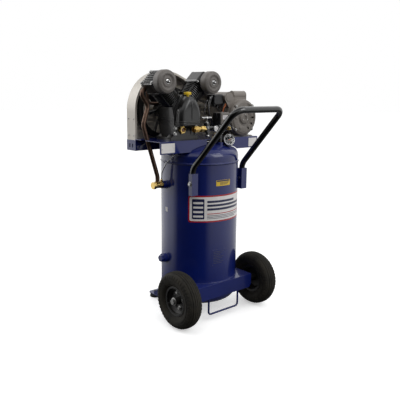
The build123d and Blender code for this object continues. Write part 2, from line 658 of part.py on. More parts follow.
with BuildPart() as filter_caps:
    for fx, fz in FILTER:
        f = lambda r, y: (fx + r, y)
        turn(PZ(fz), [f(3.05, -106), f(12, -106), f(14, -108), f(20, -108), f(23, -106), f(28, -107), f(31, -109), f(36, -109), f(40, -107), f(44, -106), f(47.5, -102), f(48.5, -98), f(48.5, -72.3),
                      f(46, -72.3), f(46, -97), f(44, -101), f(40, -103.5), f(3.05, -103.5)], V(fx, 0, fz), (0, 1, 0))

with BuildPart() as oil_filler_plug:
    cyl(PZ(988), CRANK_X, OIL_Y, 7.0, 10)
    cyl(PZ(998), CRANK_X, OIL_Y, 7.5, 7)
    with BuildSketch(PZ(1005)) as s:
        with Locations((CRANK_X, OIL_Y)):
            RegularPolygon(15.0, 12)
    extrude(s.sketch, amount=11)

with BuildPart() as sight_glass:
    cyl(PY(-60), SIGHT[0], SIGHT[1], 11.0, 11)
    hexa(PY(-71), SIGHT[0], SIGHT[1], 17.0, 9, rot=12)
    tube(PY(-80), SIGHT[0], SIGHT[1], 13.5, 9.5, 3)

# ---------------------------------------------------------------- discharge side
with BuildPart() as discharge_pipes:
    a0 = cp(-1, 170, 42)
    PIPE_PTS = [V(a0[0], 20, a0[1]), V(a0[0] - 18, 20, a0[1] - 18), V(-270, PIPE_Y, 958), V(-297, PIPE_Y, 878), V(-224, PIPE_Y, 650), V(-224, PIPE_Y, 627)]
    plen = rod(PIPE_PTS, [20, 30, 45, 60], 9.5)
    print("discharge_pipes", round(discharge_pipes.part.volume / (pi * 9.5 ** 2 * plen), 4))

    # crossover between the two heads, behind the cylinders
    xl, xr = -246.0, -34.0
    XPTS = [V(xl, 31, 1036), V(xl, 62, 1036), V(xl, 62, 966), V(xr, 62, 966), V(xr, 62, 1036), V(xr, 31, 1036)]
    xlen = rod(XPTS, [18, 22, 22, 18], 7.0)
    print("discharge_pipes both", round(discharge_pipes.part.volume / (pi * (9.5 ** 2 * plen + 7.0 ** 2 * xlen)), 4))

with BuildPart() as check_valve:
    cyl(PX(-222), PIPE_Y, PORT_Z[0], 10.0, 44)
    cyl(PX(-240), PIPE_Y, PORT_Z[0], 13.0, 40)
    hexa(PX(-250), PIPE_Y, PORT_Z[0], 17.0, 12)
    hexa(PX(-212), PIPE_Y, PORT_Z[0], 16.0, 10)
    cyl(PZ(612), -224, PIPE_Y, 10.0, 15)
    hexa(PZ(620), -224, PIPE_Y, 15.0, 7)

with BuildPart() as unloader_tube:
    UPTS = [V(-206, PIPE_Y - 4, 628.5), V(-206, PIPE_Y - 8, 668), V(-203, -14, 712), V(-190, -58, 748), V(-150, -90, 788), V(-60, -92, 803), V(30, -88, 803), V(56, -72, 803), V(56, -72, 845)]
    ulen = rod(UPTS, [40, 40, 30, 30, 60, 60, 8], 2.6)
    print("unloader_tube", round(unloader_tube.part.volume / (pi * 2.6 ** 2 * ulen), 4))

# ---------------------------------------------------------------- motor
M_O = V(MOTOR_X, 0, MOTOR_Z)
with BuildPart() as motor_shell:
    tube(PY(46), MOTOR_X, MOTOR_Z, MOTOR_R, 80.0, 112)

with BuildPart() as motor_end_bells:
    f = lambda r, y: (MOTOR_X + r, y)
    turn(PZ(MOTOR_Z), [f(8.05, -92), f(26, -92), f(30, -88), f(70, -88), f(80, -84), f(84, -76), f(84, -66), f(80, -66), f(80, -75), f(76, -81), f(69, -84), f(20, -84), f(20, -72), f(8.05, -72)], M_O, (0, 1, 0))
    turn(PZ(MOTOR_Z), [f(8.05, 72), f(26, 72), f(30, 70), f(70, 68), f(80, 64), f(84, 56), f(84, 46), f(80, 46), f(80, 55), f(76, 61), f(69, 64), f(20, 66), f(20, 54), f(8.05, 54)], M_O, (0, 1, 0))
    for k in range(12):
        a = radians(30 * k)
        for yy in (-80, 74):
            with BuildSketch(PY(yy)) as s:
                with Locations(Location((MOTOR_X + 55 * cos(a), MOTOR_Z + 55 * sin(a)), 30 * k)):
                    SlotOverall(24, 8)
            extrude(s.sketch, amount=14, mode=Mode.SUBTRACT)

with BuildPart() as stator:
    tube(PY(20), MOTOR_X, MOTOR_Z, 80.0, 48.6, 64)
    tube(PY(34), MOTOR_X, MOTOR_Z, 74.0, 52.0, 14)
    tube(PY(-44), MOTOR_X, MOTOR_Z, 74.0, 52.0, 14)

with BuildPart() as rotor:
    cyl(PY(128), MOTOR_X, MOTOR_Z, 8.0, 216)
    cyl(PY(20), MOTOR_X, MOTOR_Z, 48.0, 64)
    cyl(PY(44), MOTOR_X, MOTOR_Z, 16.0, 10)
    for k in range(8):
        a = 45.0 * k
        pl = Plane(origin=V(MOTOR_X + 14 * cos(radians(a)), 40, MOTOR_Z + 14 * sin(radians(a))), x_dir=(0, 1, 0), z_dir=(cos(radians(a)), 0, sin(radians(a))))
        with BuildSketch(pl) as s:
            Rectangle(8, 3)
        extrude(s.sketch, amount=48)

with BuildPart() as motor_pulley:
    f = lambda r, y: (MOTOR_X + r, y)
    turn(PZ(MOTOR_Z), [f(8, 99), f(18, 99), f(18, 103), f(45.5, 103), f(45.5, 107.5), f(34.5, 107.5), f(34.5, 118.5), f(45.5, 118.5), f(45.5, 123), f(8, 123)], M_O, (0, 1, 0))

with BuildPart() as motor_base:
    block(PZ(814), MOTOR_X, -10, 156, 120, 3, r=8)
    for yy in (-48, 34):
        prism(PY(yy), [(MOTOR_X - 56, 817), (MOTOR_X + 56, 817), (MOTOR_X + 72, 862), (MOTOR_X - 72, 862)], 6)
    cyl(PY(60), MOTOR_X, MOTOR_Z, MOTOR_R, 160, mode=Mode.SUBTRACT)
    for bx, by in MOTOR_BOLTS:
        cyl(PZ(810), bx, by, 4.0, 10, mode=Mode.SUBTRACT)

with BuildPart() as capacitor_covers:
    # one along the motor on its upper left, one across its top
    with BuildSketch(PY(46)) as s:
        with Locations((122, 993)):
            Circle(25)
        with Locations((146, 958)):
            Circle(25)
        make_hull()
    extrude(s.sketch, amount=106)
    with BuildSketch(PX(172)) as s2:
        with Locations((-22, 1003)):
            Circle(20)
        with Locations((-22, 975)):
            Rectangle(40, 40)
    extrude(s2.sketch, amount=80)
    cyl(PY(80), MOTOR_X, MOTOR_Z, MOTOR_R, 200, mode=Mode.SUBTRACT)

# ---------------------------------------------------------------- controls
with BuildPart() as manifold:
    cyl(PX(-76), MAN_Y, MAN_Z, 10.5, 142)
    cyl(PZ(782), RISER_X, RISER_Y, 10.5, 79)
    hexa(PX(6), MAN_Y, MAN_Z, 16.5, 32)
    hexa(PX(66), MAN_Y, MAN_Z, 14.0, 12)
    # regulator body and bonnet, with the plug under it
    cyl(PZ(846), -59, MAN_Y, 17.0, 30)
    cyl(PZ(876), -59, MAN_Y, 12.0, 9)
    hexa(PZ(834), -52, MAN_Y, 10.0, 14)
    # outlet to the pressure switch
    cyl(PY(-90), 60, MAN_Z, 9.0, 22)
    cyl(PZ(866), -59, MAN_Y, 4.06, 30, mode=Mode.SUBTRACT)
    cyl(PY(-100), -22, MAN_Z, 4.0, 26)
    cyl(PY(-100), 50, MAN_Z, 5.0, 25)

with BuildPart() as regulator_handle:
    cyl(PZ(868), -59, MAN_Y, 4.0, 40)
    cyl(PX(-82), MAN_Y, 908, 4.5, 46)

with BuildPart() as coupler_body:
    hexa(PX(-92), MAN_Y, MAN_Z, 14.0, 16)
    cyl(PX(-133), MAN_Y, MAN_Z, 9.5, 42)
    cyl(PX(-134), MAN_Y, MAN_Z, 5.9, 26, mode=Mode.SUBTRACT)

with BuildPart() as coupler_sleeve:
    tube(PX(-130), MAN_Y, MAN_Z, 13.0, 9.57, 31)

with BuildPart() as pressure_switch_body:
    block(PZ(845), 72, -65, 52, 50, 26, r=3)

with BuildPart() as pressure_switch_cover:
    block(PZ(871), 72, -65, 56, 54, 57, r=5)
    fillet(pressure_switch_cover.faces().sort_by(Axis.Z)[-1].edges(), 5)
    cyl(PX(40), -65, 902, 3.06, 14, mode=Mode.SUBTRACT)

with BuildPart() as switch_lever:
    cyl(PX(37), -65, 902, 3.0, 15)
    with BuildSketch(PX(37)) as s:
        with Locations((-65, 902)):
            Circle(7)
        with Locations((-65, 922)):
            Circle(4)
        make_hull()
    extrude(s.sketch, amount=6.6)

with BuildPart() as pressure_gauges:
    # small outlet gauge on the manifold
    cyl(PY(-126), -22, MAN_Z, 12.5, 10)
    # receiver gauge, turned up towards the user, on its elbow from the crown
    gn = Vector(-0.40, -0.87, 0.29).normalized()
    gp = Plane(origin=V(66, -118, 804.5), z_dir=gn)
    with BuildSketch(gp) as s:
        Circle(25.5)
    extrude(s.sketch, amount=18)
    with BuildSketch(gp) as s:
        Circle(11)
    extrude(s.sketch, amount=-6)
    cyl(PY(-87), GAUGE_X, 803, 5.0, 30)
    cyl(PZ(783), GAUGE_X, GAUGE_Y, 5.0, 22)

with BuildPart() as safety_valve:
    hexa(PY(-125), 50, MAN_Z, 8.5, 8)
    cyl(PY(-133), 50, MAN_Z, 6.5, 14)
    cyl(PY(-120), 50, MAN_Z, 2.05, 40, mode=Mode.SUBTRACT)

with BuildPart() as safety_ring:
    cyl(PY(-130), 50, MAN_Z, 2.0, 22)
    with BuildSketch(PX(49)) as s:
        with Locations((-159, MAN_Z)):
            Circle(8.5)
            Circle(6.0, mode=Mode.SUBTRACT)
    extrude(s.sketch, amount=2)

with BuildPart() as switch_cables:
    clen = rod([V(86, -58, 928), V(86, -58, 952), V(110, -48, 970)], [18], 4.0)

PARTS = dict(tank_shell=tank_shell, tank_top_head=tank_top_head, tank_bottom_head=tank_bottom_head, port_bosses=port_bosses,
             drain_valve_body=drain_valve_body, drain_valve_key=drain_valve_key, axle_bracket=axle_bracket, axle_bolts=axle_bolts, front_hoop=front_hoop,
             rear_foot_bracket=rear_foot_bracket, rubber_feet=rubber_feet, tyre_left=tyre_left, rim_left=rim_left, tyre_right=tyre_right, rim_right=rim_right,
             handle_tube=handle_tube, handle_brackets=handle_brackets, frame_bolts=frame_bolts, deck_plate=deck_plate, guard_rail=guard_rail,
             deck_supports=deck_supports, belt_guard_band=belt_guard_band, belt_guard_panel=belt_guard_panel, drive_belt=drive_belt, flywheel=flywheel,
             crankshaft=crankshaft, crankcase=crankcase, crankcase_cover=crankcase_cover, crank_bearings=crank_bearings, cylinders=cylinders,
             valve_plates=valve_plates, cylinder_heads=cylinder_heads, head_bolts=head_bolts, pistons=pistons,
             connecting_rods=connecting_rods, filter_bases=filter_bases, filter_caps=filter_caps,
             oil_filler_plug=oil_filler_plug, sight_glass=sight_glass, discharge_pipes=discharge_pipes, check_valve=check_valve,
             unloader_tube=unloader_tube, motor_shell=motor_shell, motor_end_bells=motor_end_bells, stator=stator, rotor=rotor, motor_pulley=motor_pulley,
             motor_base=motor_base, capacitor_covers=capacitor_covers, manifold=manifold, regulator_handle=regulator_handle, coupler_body=coupler_body,
             coupler_sleeve=coupler_sleeve, pressure_switch_body=pressure_switch_body, pressure_switch_cover=pressure_switch_cover, switch_lever=switch_lever,
             pressure_gauges=pressure_gauges, safety_valve=safety_valve, safety_ring=safety_ring, switch_cables=switch_cables)
print(len(PARTS), "parts")
lo, hi = [1e9] * 3, [-1e9] * 3
for nm, p in PARTS.items():
    bb = p.part.bounding_box()
    lo = [min(a, b) for a, b in zip(lo, (bb.min.X, bb.min.Y, bb.min.Z))]
    hi = [max(a, b) for a, b in zip(hi, (bb.max.X, bb.max.Y, bb.max.Z))]
    p.part.label = nm
    export_step(p.part, f"parts/{nm}.step")
print("box", [round(v, 2) for v in lo], [round(v, 2) for v in hi])
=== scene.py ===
import bpy, bmesh, math, random, json
from math import sin, cos, pi, radians, sqrt, atan2
from mathutils import Vector, Matrix


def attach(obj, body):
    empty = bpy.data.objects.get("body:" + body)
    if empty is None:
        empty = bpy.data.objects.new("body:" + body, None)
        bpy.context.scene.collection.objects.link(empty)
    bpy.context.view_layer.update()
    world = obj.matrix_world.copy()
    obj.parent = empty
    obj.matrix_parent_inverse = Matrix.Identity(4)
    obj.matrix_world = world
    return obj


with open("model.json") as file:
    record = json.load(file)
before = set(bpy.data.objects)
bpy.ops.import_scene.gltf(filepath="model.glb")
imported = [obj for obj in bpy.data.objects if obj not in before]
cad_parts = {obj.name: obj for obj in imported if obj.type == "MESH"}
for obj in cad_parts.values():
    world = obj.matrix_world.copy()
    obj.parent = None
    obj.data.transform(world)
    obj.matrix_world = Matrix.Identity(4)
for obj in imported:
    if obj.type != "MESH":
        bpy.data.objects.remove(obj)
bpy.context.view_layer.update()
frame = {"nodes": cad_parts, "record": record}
NODES = frame["nodes"]
random.seed(11)
SCN = bpy.context.scene

# tank axis in the row frame; P takes millimetres from the tank axis
TX, TY = 15.75, 72.5


def P(x, y, z):
    return Vector(((x + TX) / 1000.0, (y + TY) / 1000.0, z / 1000.0))


MM = 0.001

# ------------------------------------------------------------------ camera
AZ, YW, PH, RL = radians(-40.43), radians(-0.09), radians(11.77), radians(0.61)
cam_at = Vector((sin(AZ) * 2.42752, -cos(AZ) * 2.42752, 1.02531)) + Vector((TX * MM, TY * MM, 0))
fw = Vector((-sin(AZ + YW), cos(AZ + YW), 0)) * cos(PH) + Vector((0, 0, -1)) * sin(PH)
fw.normalize()
rt = fw.cross(Vector((0, 0, 1))).normalized()
up = rt.cross(fw)
r2 = rt * cos(RL) + up * sin(RL)
u2 = -rt * sin(RL) + up * cos(RL)
cam_data = bpy.data.cameras.new("camera")
cam_data.sensor_width = 36.0
cam_data.lens = 527.88 / 400.0 * 36.0
cam_data.clip_start, cam_data.clip_end = 0.05, 100.0
cam = bpy.data.objects.new("camera", cam_data)
cam.matrix_world = Matrix(((r2.x, u2.x, -fw.x, cam_at.x), (r2.y, u2.y, -fw.y, cam_at.y), (r2.z, u2.z, -fw.z, cam_at.z), (0, 0, 0, 1)))
SCN.collection.objects.link(cam)
SCN.camera = cam
SCN.view_settings.view_transform = "Standard"


# ------------------------------------------------------------------ material kit
def srgb(r, g, b):
    def f(c):
        c = c / 255.0
        return c / 12.92 if c <= 0.04045 else ((c + 0.055) / 1.055) ** 2.4
    return (f(r), f(g), f(b), 1.0)


class Mat:
    def __init__(self, name):
        self.m = bpy.data.materials.new(name)
        self.m.use_nodes = True
        self.nt = self.m.node_tree
        self.nt.nodes.clear()
        self.out = self.add("ShaderNodeOutputMaterial")
        self.b = self.add("ShaderNodeBsdfPrincipled")
        self.link(self.b.outputs[0], self.out.inputs[0])
        self.tc = self.add("ShaderNodeTexCoord")
        self.co = self.tc.outputs["Object"]
        self.geo = self.add("ShaderNodeNewGeometry")

    def add(self, kind):
        return self.nt.nodes.new(kind)

    def link(self, a, b):
        self.nt.links.new(a, b)

    def put(self, sock, v):
        if isinstance(v, bpy.types.NodeSocket):
            self.link(v, sock)
        elif v is not None:
            sock.default_value = v

    def set(self, **kw):
        for k, v in kw.items():
            self.put(self.b.inputs[k.replace("_", " ")], v)
        return self

    def mapped(self, scale=(1, 1, 1), rot=(0, 0, 0), loc=(0, 0, 0), vec=None):
        n = self.add("ShaderNodeMapping")
        self.put(n.inputs["Vector"], vec or self.co)
        n.inputs["Scale"].default_value = scale
        n.inputs["Rotation"].default_value = rot
        n.inputs["Location"].default_value = loc
        return n.outputs[0]

    def noise(self, scale, detail=3.0, rough=0.5, dist=0.0, vec=None, color=False):
        n = self.add("ShaderNodeTexNoise")
        self.put(n.inputs["Vector"], vec or self.co)
        n.inputs["Scale"].default_value = scale
        n.inputs["Detail"].default_value = detail
        n.inputs["Roughness"].default_value = rough
        n.inputs["Distortion"].default_value = dist
        return n.outputs["Color" if color else "Fac"]

    def voro(self, scale, feature="F1", rand=1.0, vec=None, out="Distance"):
        n = self.add("ShaderNodeTexVoronoi")
        n.feature = feature
        self.put(n.inputs["Vector"], vec or self.co)
        n.inputs["Scale"].default_value = scale
        n.inputs["Randomness"].default_value = rand
        return n.outputs[out]

    def ramp(self, fac, *stops):
        n = self.add("ShaderNodeValToRGB")
        self.put(n.inputs[0], fac)
        el = n.color_ramp.elements
        while len(el) < len(stops):
            el.new(0.5)
        for e, (p, c) in zip(el, stops):
            e.position = p
            e.color = c if isinstance(c, tuple) else (c, c, c, 1)
        return n.outputs[0]

    def mix(self, fac, a, b, mode="MIX"):
        n = self.add("ShaderNodeMix")
        n.data_type = "RGBA"
        n.blend_type = mode
        self.put(n.inputs["Factor"], fac)
        self.put(n.inputs[6], a)
        self.put(n.inputs[7], b)
        return n.outputs[2]

    def math(self, op, a, b=None, c=None, clamp=False):
        n = self.add("ShaderNodeMath")
        n.operation = op
        n.use_clamp = clamp
        for i, v in enumerate((a, b, c)):
            if v is not None:
                self.put(n.inputs[i], v)
        return n.outputs[0]

    def dot(self, a, b):
        n = self.add("ShaderNodeVectorMath")
        n.operation = "DOT_PRODUCT"
        self.put(n.inputs[0], a)
        self.put(n.inputs[1], b)
        return n.outputs["Value"]

    def sep(self, v):
        n = self.add("ShaderNodeSeparateXYZ")
        self.put(n.inputs[0], v)
        return n.outputs

    def bump(self, h, strength=0.3, distance=0.001, normal=None):
        n = self.add("ShaderNodeBump")
        self.put(n.inputs["Height"], h)
        n.inputs["Strength"].default_value = strength
        n.inputs["Distance"].default_value = distance
        if normal is not None:
            self.link(normal, n.inputs["Normal"])
        return n.outputs[0]

    def bevel(self, r=0.0008, samples=4):
        n = self.add("ShaderNodeBevel")
        n.samples = samples
        n.inputs["Radius"].default_value = r
        return n.outputs[0]

    def wear(self, bev, gain=3.0, noise_scale=60.0, lo=0.45, hi=0.62):
        """Edge mask: where the rounded normal leaves the flat one, broken up by noise."""
        d = self.dot(bev, self.geo.outputs["Normal"])
        e = self.math("MULTIPLY", self.math("SUBTRACT", 1.0, d), gain, clamp=True)
        n = self.ramp(self.noise(noise_scale, 5, 0.65), (lo, 0.0), (hi, 1.0))
        return self.math("MULTIPLY", e, n, clamp=True)

    def upward(self, lo=0.6, hi=0.98):
        """Mask of surfaces that face up, where dust settles."""
        z = self.sep(self.geo.outputs["Normal"])[2]
        return self.ramp(z, (lo, 0.0), (hi, 1.0))


def enamel(name, base, tint, coat=0.85, coat_r=0.07, rough=0.34, peel=0.05, wavy=0.035, dust=0.10, chip=(0.35, 0.35, 0.36, 1), metallic=0.0, edge=0.5, bev=0.0009, spec=0.5):
    """Sprayed and baked enamel: orange peel, slow sheet waviness, dust on top faces, thin rubbed edges."""
    k = Mat(name)
    big = k.noise(5.0, 3, 0.55)
    fine = k.noise(70.0, 4, 0.6)
    c = k.mix(k.ramp(big, (0.35, 0.0), (0.68, 1.0)), base, tint)
    speck = k.ramp(k.voro(420.0), (0.02, 1.0), (0.075, 0.0))
    c = k.mix(k.math("MULTIPLY", speck, 0.08), c, (0.35, 0.35, 0.36, 1))
    d = k.math("MULTIPLY", k.math("MULTIPLY", k.upward(), k.ramp(k.noise(26.0, 6, 0.7), (0.35, 0.15), (0.7, 1.0))), dust)
    c = k.mix(d, c, (0.34, 0.32, 0.29, 1))
    bv = k.bevel(bev)
    w = k.math("MULTIPLY", k.wear(bv, 4.0, 90.0, 0.52, 0.66), edge)
    c = k.mix(w, c, chip)
    r = k.math("ADD", k.math("MULTIPLY", fine, 0.10), rough - 0.05)
    r = k.math("ADD", r, k.math("MULTIPLY", d, 1.6), clamp=True)
    n = k.bump(k.noise(9.0, 2, 0.4), wavy, 0.004, bv)
    n = k.bump(k.noise(260.0, 2, 0.5), peel, 0.0006, n)
    k.set(Base_Color=c, Roughness=r, Metallic=metallic, Normal=n, Coat_Weight=coat, Coat_Roughness=coat_r, Coat_Normal=n, Specular_IOR_Level=spec)
    return k.m


def casting(name, base, light, rough=0.55, grain=0.35, coat=0.25, edge=0.6, bev=0.0012, coat_r=0.3):
    """Sand-cast iron or aluminium under thin paint: pitted skin, rubbed edges, dust."""
    k = Mat(name)
    g = k.noise(420.0, 4, 0.6)
    lump = k.noise(80.0, 4, 0.6)
    pit = k.ramp(k.voro(260.0), (0.0, 0.0), (0.35, 1.0))
    c = k.mix(k.ramp(lump, (0.3, 0.0), (0.72, 1.0)), base, light)
    c = k.mix(k.math("MULTIPLY", k.math("SUBTRACT", 1.0, pit), 0.35), c, (0.008, 0.008, 0.008, 1))
    d = k.math("MULTIPLY", k.math("MULTIPLY", k.upward(0.4, 0.95), k.ramp(k.noise(34.0, 6, 0.7), (0.35, 0.2), (0.7, 1.0))), 0.16)
    c = k.mix(d, c, (0.24, 0.225, 0.20, 1))
    bv = k.bevel(bev)
    w = k.math("MULTIPLY", k.wear(bv, 3.0, 120.0, 0.45, 0.62), edge)
    c = k.mix(w, c, (0.22, 0.22, 0.22, 1))
    n = k.bump(lump, 0.25, 0.0009, bv)
    n = k.bump(g, grain, 0.0005, n)
    n = k.bump(pit, 0.15, 0.0003, n)
    r = k.math("ADD", k.math("MULTIPLY", g, 0.22), rough - 0.11, clamp=True)
    k.set(Base_Color=c, Roughness=r, Metallic=0.0, Normal=n, Coat_Weight=coat, Coat_Roughness=coat_r, Coat_Normal=k.bump(lump, 0.12, 0.0009, bv))
    return k.m


def metal(name, base, dull, rough=0.28, brush=(1, 1, 1), brush_scale=900.0, brush_b=0.12, mottle=18.0, spots=0.3, bev=0.0006, aniso=0.0):
    """Bare or plated metal: tool marks, mottled plating, fingerprints, darker spots scattered by noise."""
    k = Mat(name)
    br = k.noise(brush_scale, 3, 0.6, vec=k.mapped(scale=brush))
    mo = k.noise(mottle * 6, 5, 0.65)
    sm = k.noise(mottle, 4, 0.6, 0.6)
    c = k.mix(k.ramp(mo, (0.35, 0.0), (0.75, 1.0)), base, dull)
    c = k.mix(k.math("MULTIPLY", k.ramp(sm, (0.5, 0.0), (0.75, 1.0)), spots), c, tuple(x * 0.45 for x in base[:3]) + (1,))
    bv = k.bevel(bev)
    n = k.bump(br, brush_b, 0.0003, bv)
    r = k.math("ADD", k.math("MULTIPLY", mo, 0.22), k.math("MULTIPLY", br, 0.12))
    r = k.math("ADD", r, rough - 0.17, clamp=True)
    k.set(Base_Color=c, Roughness=r, Metallic=1.0, Normal=n, Anisotropic=aniso)
    return k.m


def plastic(name, base, light, rough=0.42, grain=0.18, scale=700.0, coat=0.0, bev=0.0008):
    """Moulded plastic: spark-eroded texture, scuffs, paler rubbed corners."""
    k = Mat(name)
    t = k.voro(scale, "SMOOTH_F1")
    n1 = k.noise(30.0, 5, 0.65)
    bv = k.bevel(bev)
    w = k.wear(bv, 2.5, 70.0, 0.4, 0.65)
    c = k.mix(k.ramp(n1, (0.3, 0.0), (0.75, 1.0)), base, light)
    c = k.mix(k.math("MULTIPLY", w, 0.45), c, tuple(min(1, x * 1.6 + 0.03) for x in light[:3]) + (1,))
    scuff = k.ramp(k.noise(55.0, 6, 0.75, 1.2, vec=k.mapped(scale=(1, 1, 5), rot=(0.3, 0.5, 0.2))), (0.60, 0.0), (0.72, 1.0))
    n = k.bump(t, grain, 0.0004, bv)
    r = k.math("ADD", k.math("MULTIPLY", n1, 0.16), rough - 0.08)
    r = k.math("ADD", r, k.math("MULTIPLY", scuff, 0.12), clamp=True)
    k.set(Base_Color=c, Roughness=r, Normal=n, Coat_Weight=coat, Coat_Roughness=0.15)
    return k.m


def rubbery(name, base, dusty, dust=0.55, rough=0.78, scale=600.0):
    k = Mat(name)
    n1 = k.noise(22.0, 6, 0.7, 0.4)
    n2 = k.noise(scale, 4, 0.6)
    bv = k.bevel(0.0008)
    w = k.wear(bv, 2.2, 60.0, 0.3, 0.6)
    m = k.math("MULTIPLY", k.ramp(n1, (0.32, 0.0), (0.70, 1.0)), dust)
    c = k.mix(m, base, dusty)
    c = k.mix(k.math("MULTIPLY", w, 0.4), c, dusty)
    n = k.bump(n2, 0.22, 0.0004, bv)
    n = k.bump(n1, 0.15, 0.0008, n)
    k.set(Base_Color=c, Roughness=k.math("ADD", k.math("MULTIPLY", n2, 0.15), rough - 0.08, clamp=True), Normal=n)
    return k.m


M = {}
M["tank_blue"] = enamel("enamel_blue", srgb(1, 24, 100), srgb(1, 19, 88), coat=1.0, coat_r=0.035, rough=0.45, dust=0.05, spec=0.25)
M["black_paint"] = enamel("enamel_black", srgb(16, 16, 15), srgb(10, 10, 10), coat=1.0, coat_r=0.10, rough=0.26, dust=0.14, chip=(0.25, 0.25, 0.25, 1))
M["guard_silver"] = enamel("enamel_silver", srgb(200, 194, 184), srgb(186, 180, 170), coat=0.35, coat_r=0.2, rough=0.42, metallic=0.25, dust=0.08, chip=srgb(120, 118, 112), edge=0.35)
M["motor_grey"] = enamel("enamel_grey", srgb(120, 113, 106), srgb(108, 101, 95), coat=0.5, coat_r=0.16, rough=0.42, dust=0.16, chip=srgb(170, 166, 160), edge=0.4)
M["cast_black"] = casting("casting_black", srgb(7, 7, 8), srgb(12, 12, 12), rough=0.42, grain=0.2, coat=0.7, coat_r=0.12, edge=0.30)
M["cast_grey"] = casting("casting_grey", srgb(112, 105, 98), srgb(98, 92, 86), rough=0.5, coat=0.35)
M["steel"] = metal("steel_ground", (0.50, 0.50, 0.49, 1), (0.36, 0.36, 0.36, 1), rough=0.30, brush=(1, 1, 14))
M["zinc"] = metal("zinc_plate", (0.48, 0.48, 0.46, 1), (0.36, 0.36, 0.37, 1), rough=0.30, mottle=30.0)
M["chrome"] = metal("chrome_plate", (0.62, 0.62, 0.61, 1), (0.48, 0.48, 0.49, 1), rough=0.16, brush_b=0.03, spots=0.15)
M["aluminium"] = metal("aluminium_turned", (0.72, 0.72, 0.71, 1), (0.58, 0.58, 0.58, 1), rough=0.34, brush=(9, 1, 1))
M["brass"] = metal("brass_turned", srgb(238, 208, 132), srgb(206, 172, 100), rough=0.26, mottle=26.0, spots=0.35)
M["copper"] = metal("copper_dulled", srgb(128, 104, 90), srgb(84, 70, 62), rough=0.42, mottle=14.0, spots=0.5)
M["rubber"] = rubbery("rubber_black", srgb(26, 26, 26), srgb(62, 59, 55), 0.5)
M["tyre"] = rubbery("tyre_rubber", srgb(13, 12, 9), srgb(66, 60, 46), 0.42, 0.82)
M["plastic_black"] = plastic("plastic_black", srgb(26, 26, 28), srgb(38, 38, 40), rough=0.40)
M["plastic_grey"] = plastic("plastic_grey", srgb(112, 107, 103), srgb(98, 94, 90), rough=0.46)
M["plastic_yellow"] = plastic("plastic_yellow", srgb(242, 208, 40), srgb(228, 190, 28), rough=0.30, grain=0.08, coat=0.4)

M["rim_black"] = casting("rim_black", srgb(15, 15, 15), srgb(22, 21, 20), rough=0.5, grain=0.12, coat=0.25, edge=0.25)
SLOT = {s["node"]: s["material_slot"] for s in frame["record"]["subparts"]} if "subparts" in frame["record"] else {}
for n, o in NODES.items():
    s = SLOT.get(n) or (o.data.materials[0].name if o.data.materials and o.data.materials[0] else None)
    if s in M:
        if not o.data.materials:
            o.data.materials.append(M[s])
        for i in range(len(o.material_slots)):
            o.material_slots[i].material = M[s]

for n in ("rim_left", "rim_right"):
    for i in range(len(NODES[n].material_slots)):
        NODES[n].material_slots[i].material = M["rim_black"]

# ------------------------------------------------------------------ light, world, floor
world = bpy.data.worlds.new("studio")
SCN.world = world
world.use_nodes = True
wn = world.node_tree
wn.nodes.clear()
W = wn.nodes.new
wl = wn.links.new
cdir = Vector((sin(AZ), -cos(AZ), 0))
rdir = Vector((cos(AZ), sin(AZ), 0))
tc = W("ShaderNodeTexCoord")


def wdot(v):
    n = W("ShaderNodeVectorMath")
    n.operation = "DOT_PRODUCT"
    wl(tc.outputs["Generated"], n.inputs[0])
    n.inputs[1].default_value = v
    return n.outputs["Value"]


def wmath(op, a, b=None, clamp=False):
    n = W("ShaderNodeMath")
    n.operation = op
    n.use_clamp = clamp
    for i, v in enumerate((a, b)):
        if v is None:
            continue
        if isinstance(v, (int, float)):
            n.inputs[i].default_value = v
        else:
            wl(v, n.inputs[i])
    return n.outputs[0]


ang = wmath("ARCTAN2", wdot(rdir), wdot(cdir))      # 0 towards the camera's side, + to its right
ramp = W("ShaderNodeValToRGB")
wl(wmath("ADD", wmath("DIVIDE", ang, 2 * pi), 0.5), ramp.inputs[0])
env = [(-180, 0.70), (-115, 1.05), (-86, 1.0), (-66, 0.03), (-10, 0.015), (18, 0.02), (36, 0.60), (90, 0.80)]
els = ramp.color_ramp.elements
while len(els) < len(env):
    els.new(0.5)
for e, (a, v) in zip(els, env):
    e.position = a / 360.0 + 0.5
    e.color = (v, v, v * 1.0, 1)
zz = wdot(Vector((0, 0, 1)))
topm = W("ShaderNodeMapRange")
topm.interpolation_type = "SMOOTHSTEP"
wl(zz, topm.inputs["Value"])
topm.inputs["From Min"].default_value = 0.30
topm.inputs["From Max"].default_value = 0.52
mixv = W("ShaderNodeMix")
mixv.data_type = "RGBA"
wl(topm.outputs[0], mixv.inputs["Factor"])
lowm = W("ShaderNodeMapRange")
lowm.interpolation_type = "SMOOTHSTEP"
wl(zz, lowm.inputs["Value"])
lowm.inputs["From Min"].default_value = -0.36
lowm.inputs["From Max"].default_value = -0.25
lowm.inputs["To Min"].default_value = 0.12
lowm.inputs["To Max"].default_value = 1.0
lowx = W("ShaderNodeMix")
lowx.data_type = "RGBA"
lowx.blend_type = "MULTIPLY"
lowx.inputs["Factor"].default_value = 1.0
wl(ramp.outputs[0], lowx.inputs[6])
wl(lowm.outputs[0], lowx.inputs[7])
wl(lowx.outputs[2], mixv.inputs[6])
skyr = W("ShaderNodeValToRGB")
wl(zz, skyr.inputs[0])
se = skyr.color_ramp.elements
while len(se) < 4:
    se.new(0.5)
for e, (a, v) in zip(se, [(0.30, 0.95), (0.70, 0.95), (0.90, 0.40), (1.0, 0.35)]):
    e.position = a
    e.color = (v, v, v * 1.01, 1)
wl(skyr.outputs[0], mixv.inputs[7])
bg = W("ShaderNodeBackground")
wl(mixv.outputs[2], bg.inputs[0])
bg.inputs[1].default_value = 1.0
bgc = W("ShaderNodeBackground")
bgc.inputs[0].default_value = (1, 1, 1, 1)
bgc.inputs[1].default_value = 1.0
